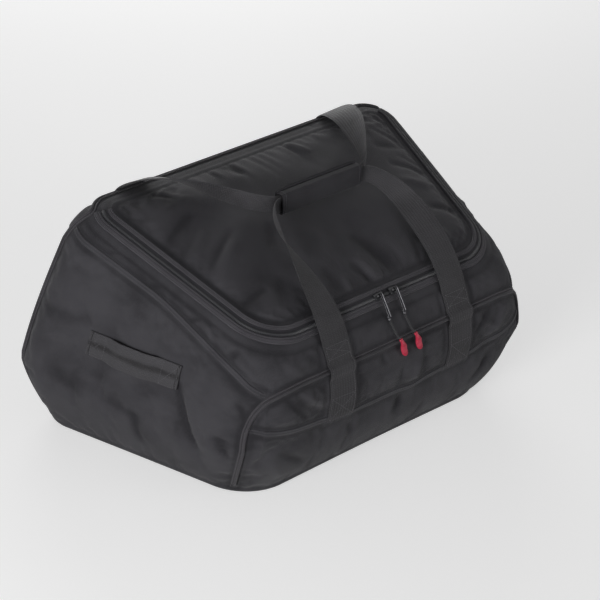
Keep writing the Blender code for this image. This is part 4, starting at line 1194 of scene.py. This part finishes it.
def bezier(points, count):
    """Cubic curve from the first point to the last, drawn towards the two between."""
    share = np.linspace(0, 1, count)[:, None]
    a, b, c, d = points
    rest = 1 - share
    return rest**3 * a + 3 * rest**2 * share * b + 3 * rest * share**2 * c + share**3 * d


def sleeve_centre():
    """Middle of the carrying sleeve, a hand's room above the lid."""
    y = (ZIP_LINE.front_y + ZIP_LINE.rear_y) / 2 - SLEEVE_FORWARD
    lid_top = (ZIP_LINE.front_z + ZIP_LINE.rear_z) / 2 + LID_CROWN
    return np.array([0, y, lid_top + HAND_ROOM + FOLDED_WIDTH / 2])


def strap_leg(x, hand, find_around, side, across_points=11):
    """Half a carrying strap: laid on the shell, then free along a cubic curve on which it turns
    on edge and folds. Gives its points and normals."""
    ups = np.concatenate([np.linspace(1.03, 1.8, 24), np.linspace(1.82, 2.18, 26),
                          np.linspace(2.2, STRAP_SEWN_TO, 14)])[:, None]
    offsets = np.linspace(0.5, -0.5, across_points) * WEBBING_WIDTH * hand
    points, normals = shell_point(places_around(find_around, hand * x + offsets, ups), ups)
    over = over_piping(ups) if side < 0 else 0 * ups
    points = points + normals * (GAP + over + WEBBING_THICKNESS / 2)[..., None]
    start = points[-1].mean(axis=0)
    steep = FRONT_STRAP_RISE if side < 0 else REAR_STRAP_RISE
    rise = unit(start - points[-4].mean(axis=0)) * steep
    outward = unit(normals[-1].mean(axis=0))
    grip_end = sleeve_centre() + np.array([0, side * (FOLDED_THICKNESS + GAP) / 2, 0])
    grip_end = grip_end + X_AXIS * hand * SLEEVE_HALF
    length = np.linalg.norm(grip_end - start)
    level_from = grip_end + X_AXIS * hand * STRAP_LEVEL_END * length
    free_start = start + rise * length + outward * STRAP_LIFT
    centre = bezier((start, free_start, level_from, grip_end), 48)
    if side > 0:
        centre[:, 2] -= STRAP_SAG * np.sin(math.pi * np.clip(np.linspace(0, 2.5, 48), 0, 1)) ** 2
    run = unit(np.gradient(centre, axis=0))
    turn = smooth(np.linspace(0, 1, len(centre)))[:, None]
    aim = -hand * X_AXIS * (1 - turn) + np.array([0, 0, -1.0]) * turn
    across = unit(aim - (aim * run).sum(axis=1, keepdims=True) * run)
    through = np.cross(run, across)
    through *= np.sign((through[0] * outward).sum())
    width = WEBBING_WIDTH + (FOLDED_WIDTH - WEBBING_WIDTH) * turn
    fold = np.linspace(-1, 1, across_points)
    sheet = centre[:, None] + across[:, None] * width[:, None] * fold[None, :, None] / 2
    cup = 0.5 * (FOLDED_THICKNESS - WEBBING_THICKNESS) * turn * (fold[None] ** 2 * 2 - 1)
    sheet = sheet + through[:, None] * cup[..., None]
    free_normals = np.repeat(through[:, None], across_points, axis=1)
    return np.concatenate([points, sheet[1:]]), np.concatenate([normals, free_normals[1:]])


def carrying_strap(name, node, x, find_around, side, finish):
    """A carrying strap as one band: up its left leg, through the sleeve and down its right leg."""
    legs = [strap_leg(x, hand, find_around, side) for hand in (-1, 1)]
    middle, normals = (np.concatenate([left, right[::-1]]) for left, right in zip(*legs))
    piece = ribbon(name, middle, normals, WEBBING_THICKNESS, finish)
    stands_for(node)


def sleeve_section():
    """Middle line of the wound sheet: a rounded rectangle whose end steps out over its start."""
    inner_y = FOLDED_THICKNESS + GAP / 2 + 3 * GAP + SLEEVE_SHEET / 2
    inner_z = FOLDED_WIDTH / 2 + SLEEVE_ROOM + SLEEVE_SHEET / 2
    angle = np.linspace(0, math.tau + SLEEVE_OVERLAP, 120)
    step_out = (SLEEVE_SHEET + GAP) * smooth((angle - math.tau + 0.9) / 0.9)
    across = squared(np.cos(angle), SLEEVE_SQUARENESS) * (inner_y + step_out)
    upward = squared(np.sin(angle), SLEEVE_SQUARENESS) * (inner_z + step_out)
    return np.stack([np.zeros(len(angle)), across, upward], axis=1)


def sleeve(cloth, closure, thread):
    """The wound sheet, the closure tape along its free end, and a row of thread near both ends."""
    line = sleeve_section()
    out = np.cross(unit(np.gradient(line, axis=0)), X_AXIS)
    reach = np.linspace(-1, 1, 33) * (SLEEVE_HALF - 0.002)
    middle = sleeve_centre() + line[:, None] + X_AXIS * reach[None, :, None]
    normals = np.repeat(out[:, None], len(reach), axis=1)
    piece = ribbon("carrying_sleeve", middle, normals, SLEEVE_SHEET, cloth, edge=0.6)
    stands_for("grip_wrap")
    normals = normals * np.sign((out[-1] * line[-1]).sum())
    surface = middle + normals * (SLEEVE_SHEET / 2 + 0.0004)
    last = slice(-9, -1)
    tape = ribbon("closure_tape", surface[last, 1:-1], normals[last, 1:-1], 0.0010, closure)
    rows = [
        (surface[:, column] + normals[:, column] * 0.0001, normals[:, column])
        for column in (1, -2)
    ]
    stitches("sleeve_stitches", rows, thread)


def handle_places(hand):
    """Places of a grab handle on its end panel: around, how far it bows out, and up."""
    side_length = DEPTH / math.cos(math.atan2(REAR_HALF - FRONT_HALF, DEPTH))
    half = GRAB_LENGTH / 2
    run = np.linspace(-half, half, 141)
    free_share = (half - GRAB_SEWN - np.abs(run)) / (half - GRAB_SEWN)
    bow = GRAB_BOW * smooth(GRAB_STEEPNESS * free_share)
    around = GRAB_AROUND + run / side_length
    around = around if hand < 0 else (1 - around) % 4
    heights = GRAB_Z + np.linspace(-0.5, 0.5, 25) * GRAB_WIDTH
    return around, bow, level_up(around[:, None], heights[None])


def grab_handle(name, node, hand, finish):
    """Folded webbing, sewn flat at both ends and bowed out between. Its two folded edges meet in a
    groove along its middle, and a row of thread presses a furrow across it near each end."""
    around, bow, up = handle_places(hand)
    points, normals = shell_point(around[:, None], up)
    share = np.linspace(-1, 1, up.shape[1])
    groove = np.exp(-((share / 0.24) ** 2))[None]
    to_end = GRAB_LENGTH / 2 - np.abs(np.linspace(-0.5, 0.5, len(around)) * GRAB_LENGTH)
    furrow = np.exp(-(((to_end - 0.0045) / 0.0016) ** 2))[:, None]
    lift = GAP + bow[:, None] + GRAB_THICKNESS / 2 - np.maximum(0.0013 * groove, 0.0011 * furrow)
    # The handle's webbing is a little paler all over, and its groove and furrows are painted
    # darker: painted shade
    piece = ribbon(name, points + normals * lift[..., None], normals, GRAB_THICKNESS, finish,
                   edge=0.6, wear_and_painted_light=0.22 - 0.55 * np.maximum(groove, furrow))
    stands_for(node)


def pull_cord(hand, side, finish, grip):
    """The short free cord of a pull: a circle carried along its part's route."""
    route = np.array(CORD_ROUTE) + X_AXIS * side * SLIDER_X
    places = np.arange(len(route))
    centre = resampled(np.linspace(0, places[-1], 41), places, route)
    across = np.cross(unit(np.gradient(centre, axis=0)), X_AXIS)
    ring = circle(np.arange(12) * math.tau / 12) * CORD_DIAMETER / 2
    loops = centre[:, None] + ring[:, :1] * X_AXIS + ring[None, :, 1:] * across[:, None]
    piece = skinned("cord_of_pull_" + hand, loops, finish, "pull_" + hand, sharp=60)
    stands_for("pull_cord_" + hand)


def stamped_pull(hand, side, steel):
    """A metal pull: sheet rolled round the slider's bar, then a flat tail with raised rims that
    wear bright, the +X rim with a painted highlight, and a crimped barrel that holds the cord. A
    profile is carried along the path."""
    bar, end = np.array([PULL_BAR, PULL_TAIL]) + X_AXIS * side * SLIDER_X
    length = np.linalg.norm(end - bar)
    run = (end - bar) / length
    up = np.cross(X_AXIS, run)
    up *= np.sign(up[2])
    eye = circle(np.linspace(math.pi / 2, math.tau + 0.3, 28))
    straight = np.linspace(length - CRIMP_OVER, 0, 30)[:-1]
    flat = np.concatenate([
        np.stack([straight, np.full(straight.shape, EYE_RADIUS)], axis=1), EYE_RADIUS * eye
    ])
    out = np.concatenate([np.tile([0.0, 1.0], (len(straight), 1)), eye])
    centre = bar + flat[:, :1] * run + flat[:, 1:] * up
    out = out[:, :1] * run + out[:, 1:] * up
    narrow = 1 - 0.16 * smooth(np.linspace(0, 1, len(flat)) / 0.6)
    loops = (
        centre[:, None] + narrow[:, None, None] * PULL_PROFILE[:, :1] * X_AXIS
        + out[:, None] * PULL_PROFILE[:, 1:2]
    )
    # The profile's third column paints the rims bright for wear, and the +X rim brighter still as a
    # painted highlight
    pull = skinned("stamped_pull_" + hand, loops, steel, "pull_" + hand, 40, PULL_PROFILE[:, 2])
    turns = circle(np.arange(20) * math.tau / 20)
    ring = turns[:, :1] * X_AXIS + turns[:, 1:] * up
    barrel = end + BARREL[:, :1, None] * run + BARREL[:, 1:, None] * ring
    rims = (BARREL[:, 1:] > 0.0024) * 0.35
    crimp = skinned("crimp_of_pull_" + hand, barrel, steel, "pull_" + hand, 40, rims)
    stands_for("pull_tab_" + hand)


def moulded_end(hand, side, rubber):
    """The red end of a pull: superellipses along its line, narrow at the collar, wide and flat
    below, with seven low ribs across both faces."""
    line = np.array(END_LINE) + X_AXIS * side * SLIDER_X
    share = np.linspace(0, 1, 90)
    centre = resampled(share, np.linspace(0, 1, len(line)), line)
    longer = np.pad(centre, ((9, 9), (0, 0)), mode="reflect", reflect_type="odd")
    evened = [np.convolve(part, np.ones(19) / 19, mode="valid") for part in longer.T]
    centre = np.stack(evened, axis=1)
    run = unit(np.gradient(centre, axis=0))
    out = unit(np.cross(run, X_AXIS))
    across = np.cross(out, run)
    swell = 0.50 + 0.50 * smooth((share - 0.08) / 0.40)
    swell *= np.sqrt(np.clip(1 - (np.clip(share - 0.80, 0, 1) / 0.205) ** 2, 0.02, 1))
    swell += 0.12 * np.exp(-(((share - 0.05) / 0.03) ** 2))
    ribs = 0.10 * np.maximum(np.sin((share - 0.38) * math.tau * 7 / 0.42), 0)
    ribs *= (share > 0.38) & (share < 0.80)
    angles = np.arange(28) * math.tau / 28
    wide = squared(np.cos(angles), 0.8) * END_HALF
    deep = squared(np.sin(angles), 0.8)
    thick = END_DEEP * (np.sqrt(swell) * 0.92 + ribs)
    loops = (
        centre[:, None] + across[:, None] * wide[None, :, None] * swell[:, None, None]
        + out[:, None] * deep[None, :, None] * thick[:, None, None]
    )
    # The tops of the ribs are painted paler: painted highlight
    wear_and_painted_light = np.clip(ribs * 8, 0, 1)[:, None]
    piece = skinned("moulded_end_" + hand, loops, rubber, "pull_" + hand, 50, wear_and_painted_light)
    stands_for("pull_grip_" + hand)
    return piece


def aimed(data, place, target, roll=0.0):
    """A camera or a lamp at a place, which looks at a target."""
    made = bpy.data.objects.new(data.name, data)
    made.location = place
    turned = (Vector(place) - Vector(target)).to_track_quat("Z", "Y")
    made.rotation_euler = (turned @ Quaternion((0, 0, 1), math.radians(roll))).to_euler()
    bpy.context.scene.collection.objects.link(made)
    return made


def camera_and_light():
    """Camera at the photo's angle, a key lamp from the left with two wide ones, a dim world that
    looks bright to the camera and in gloss, and a pale floor."""
    scene = bpy.context.scene
    scene.view_settings.view_transform = "Standard"
    data = bpy.data.cameras.new("camera")
    data.lens = 142
    data.sensor_width = 36
    scene.camera = aimed(data, (-2.2155, -2.2029, 2.0042), (0.0, -0.005, 0.170), CAMERA_ROLL)
    for name, place, size, power in LAMPS:
        lamp = bpy.data.lights.new(name, "AREA")
        lamp.size = size
        lamp.energy = power
        aimed(lamp, place, (0, 0, 0.2))
    world = bpy.data.worlds.new("studio")
    world.use_nodes = True
    scene.world = world
    tree = world.node_tree
    rays = add_node(tree, "LightPath").outputs
    seen = rays["Is Camera Ray"]
    for ray in ("Is Glossy Ray", "Is Transmission Ray"):
        seen = add_node(tree, "Math", {0: seen, 1: rays[ray]}, operation="MAXIMUM").outputs["Value"]
    strength = add_node(tree, "MapRange", {
        "Value": seen, "To Min": WORLD_LIGHT, "To Max": WORLD_SEEN})
    background = tree.nodes["Background"]
    background.inputs["Color"].default_value = linear("#f2f2f2")
    tree.links.new(strength.outputs["Result"], background.inputs["Strength"])
    floor_material, tree, shader = new_material("painted_floor", roughness=0.9)
    shader.inputs["Base Color"].default_value = linear("#dedede")
    mesh = bpy.data.meshes.new("floor")
    mesh.from_pydata([(-9, -9, 0), (9, -9, 0), (9, 9, 0), (-9, 9, 0)], [], [(0, 1, 2, 3)])
    mesh.materials.append(floor_material)
    floor = bpy.data.objects.new("floor", mesh)
    scene.collection.objects.link(floor)
    # The camera sees the floor a little brighter than it lights the bag
    glow = add_node(tree, "Emission", {"Color": linear("#f4f4f4"), "Strength": FLOOR_GLOW})
    plus = add_node(tree, "AddShader", {0: shader.outputs["BSDF"], 1: glow.outputs["Emission"]})
    mixed = add_node(tree, "MixShader", {
        "Fac": add_node(tree, "LightPath").outputs["Is Camera Ray"], 1: shader.outputs["BSDF"],
        2: plus.outputs["Shader"],
    })
    tree.links.new(mixed.outputs["Shader"], tree.nodes["Material Output"].inputs["Surface"])


def paint(node, finish):
    """Gives a node of the part its finish."""
    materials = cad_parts[node].data.materials
    materials.clear()
    materials.append(finish)


def main():
    camera_and_light()
    # All weaves and grains are drawn two to three times as coarse as the real ones, so that they
    # show. Plain weave of textured polyester: matt, a little purple, paler where folds wear, with
    # shade painted into their valleys
    shell_cloth = woven("woven_polyester_600_denier", "#3e3d41", "#232226", 0.0016, 0.76, 0.12, 0.5)
    # The same cloth folded double, painted lighter for the light that it catches along the zip and
    # the seams: painted light
    welt_cloth = woven("folded_woven_polyester", "#4a484d", "#2d2b30", 0.0016, 0.68, 0.15, 0.5)
    # Cut on the bias and drawn tight over a cord, it is smooth, with a soft line of light
    piping_cloth = woven("bias_cut_polyester_piping", "#413f43", "#262429", 0.0014, 0.68, 0.15, 0.4)
    # Webbing is ribbed across and a little warmer and shinier than the cloth
    webbing = woven("woven_polyester_webbing", "#3f3e41", "#252426", 0.0026, 0.60, 0.10, 0.9)
    # Zip tape is fine and flat, so it stays the darkest and most even band
    tape = woven("woven_zip_tape", "#343337", "#1d1c20", 0.0012, 0.8, 0.08, 0.5)
    # Cloth over thin foam: soft highlights along the sleeve's rounded edges
    sleeve_cloth = woven("padded_polyester_sleeve", "#343337", "#1e1d21", 0.0016, 0.78, 0.10, 0.6)
    # Loops of nylon swallow the light, so the closure is a dull black edge
    hook_tape = woven("looped_nylon_closure", "#262528", "#101012", 0.0030, 0.95, 0.2, 1.0)
    # Bonded thread is smoother than the cloth, so each stitch shows as a lighter dash
    thread = speckled("bonded_polyester_thread", "#4c4a4f", "#3b393e", 0.0008, 0.3,
                      roughness=0.5, sheen_weight=0.2)
    # Nylon straight from the mould has a faint gloss on each loop
    coil = speckled("moulded_nylon_coil", "#47474b", "#242427", 0.0015, 0.15, roughness=0.4)
    # Paint on a casting: small soft glints on the slider's rounded edges
    zinc = speckled("painted_die_cast_zinc", "#38383b", "#232326", 0.0012, 0.25, roughness=0.38,
                    coat_weight=0.3)
    # Black nickel goes bright where the rims of a pull wear, and the +X rim carries a painted
    # highlight
    steel = speckled("black_nickel_plated_steel", "#303033", "#222225", 0.0030, 0.02,
                     bright="#7c7b7e", roughness=0.42, metallic=1.0)
    # Tight braid, nearly black, with a fine crossed pattern
    cord = braided("braided_polyester_cord", "#39383c", "#151417", 0.0016)
    # Soft plastic from a mould: even red and satin, with a painted highlight on the tops of its
    # ribs
    rubber = speckled("moulded_soft_pvc_red", "#c62e49", "#b0243e", 0.0020, 0.2,
                      bright="#dd5a70", roughness=0.40, specular_ior_level=0.5)
    for hand, side in (("left", -1), ("right", 1)):
        paint("zip_slider_" + hand, zinc)
        stamped_pull(hand, side, steel)
        pull_cord(hand, side, cord, moulded_end(hand, side, rubber))
    bag_shell(shell_cloth)
    piping("front_panel_piping", front_piping_places(), "front_piping", piping_cloth)
    piping("rear_panel_piping", rear_piping_places(), "rear_piping", piping_cloth)
    zip_pieces(tape, welt_cloth)
    zip_coil(coil)
    seams(shell_cloth, thread)
    edge_stitches(thread)
    carrying_strap("front_carrying_strap", "front_strap", FRONT_STRAP_X, front_around, -1, webbing)
    carrying_strap("rear_carrying_strap", "rear_strap", REAR_STRAP_X, rear_around, 1, webbing)
    webbing_stitches(thread)
    sleeve(sleeve_cloth, hook_tape, thread)
    for hand, side in (("left", -1), ("right", 1)):
        grab_handle("folded_handle_" + hand, "grab_handle_" + hand, side, webbing)


main()
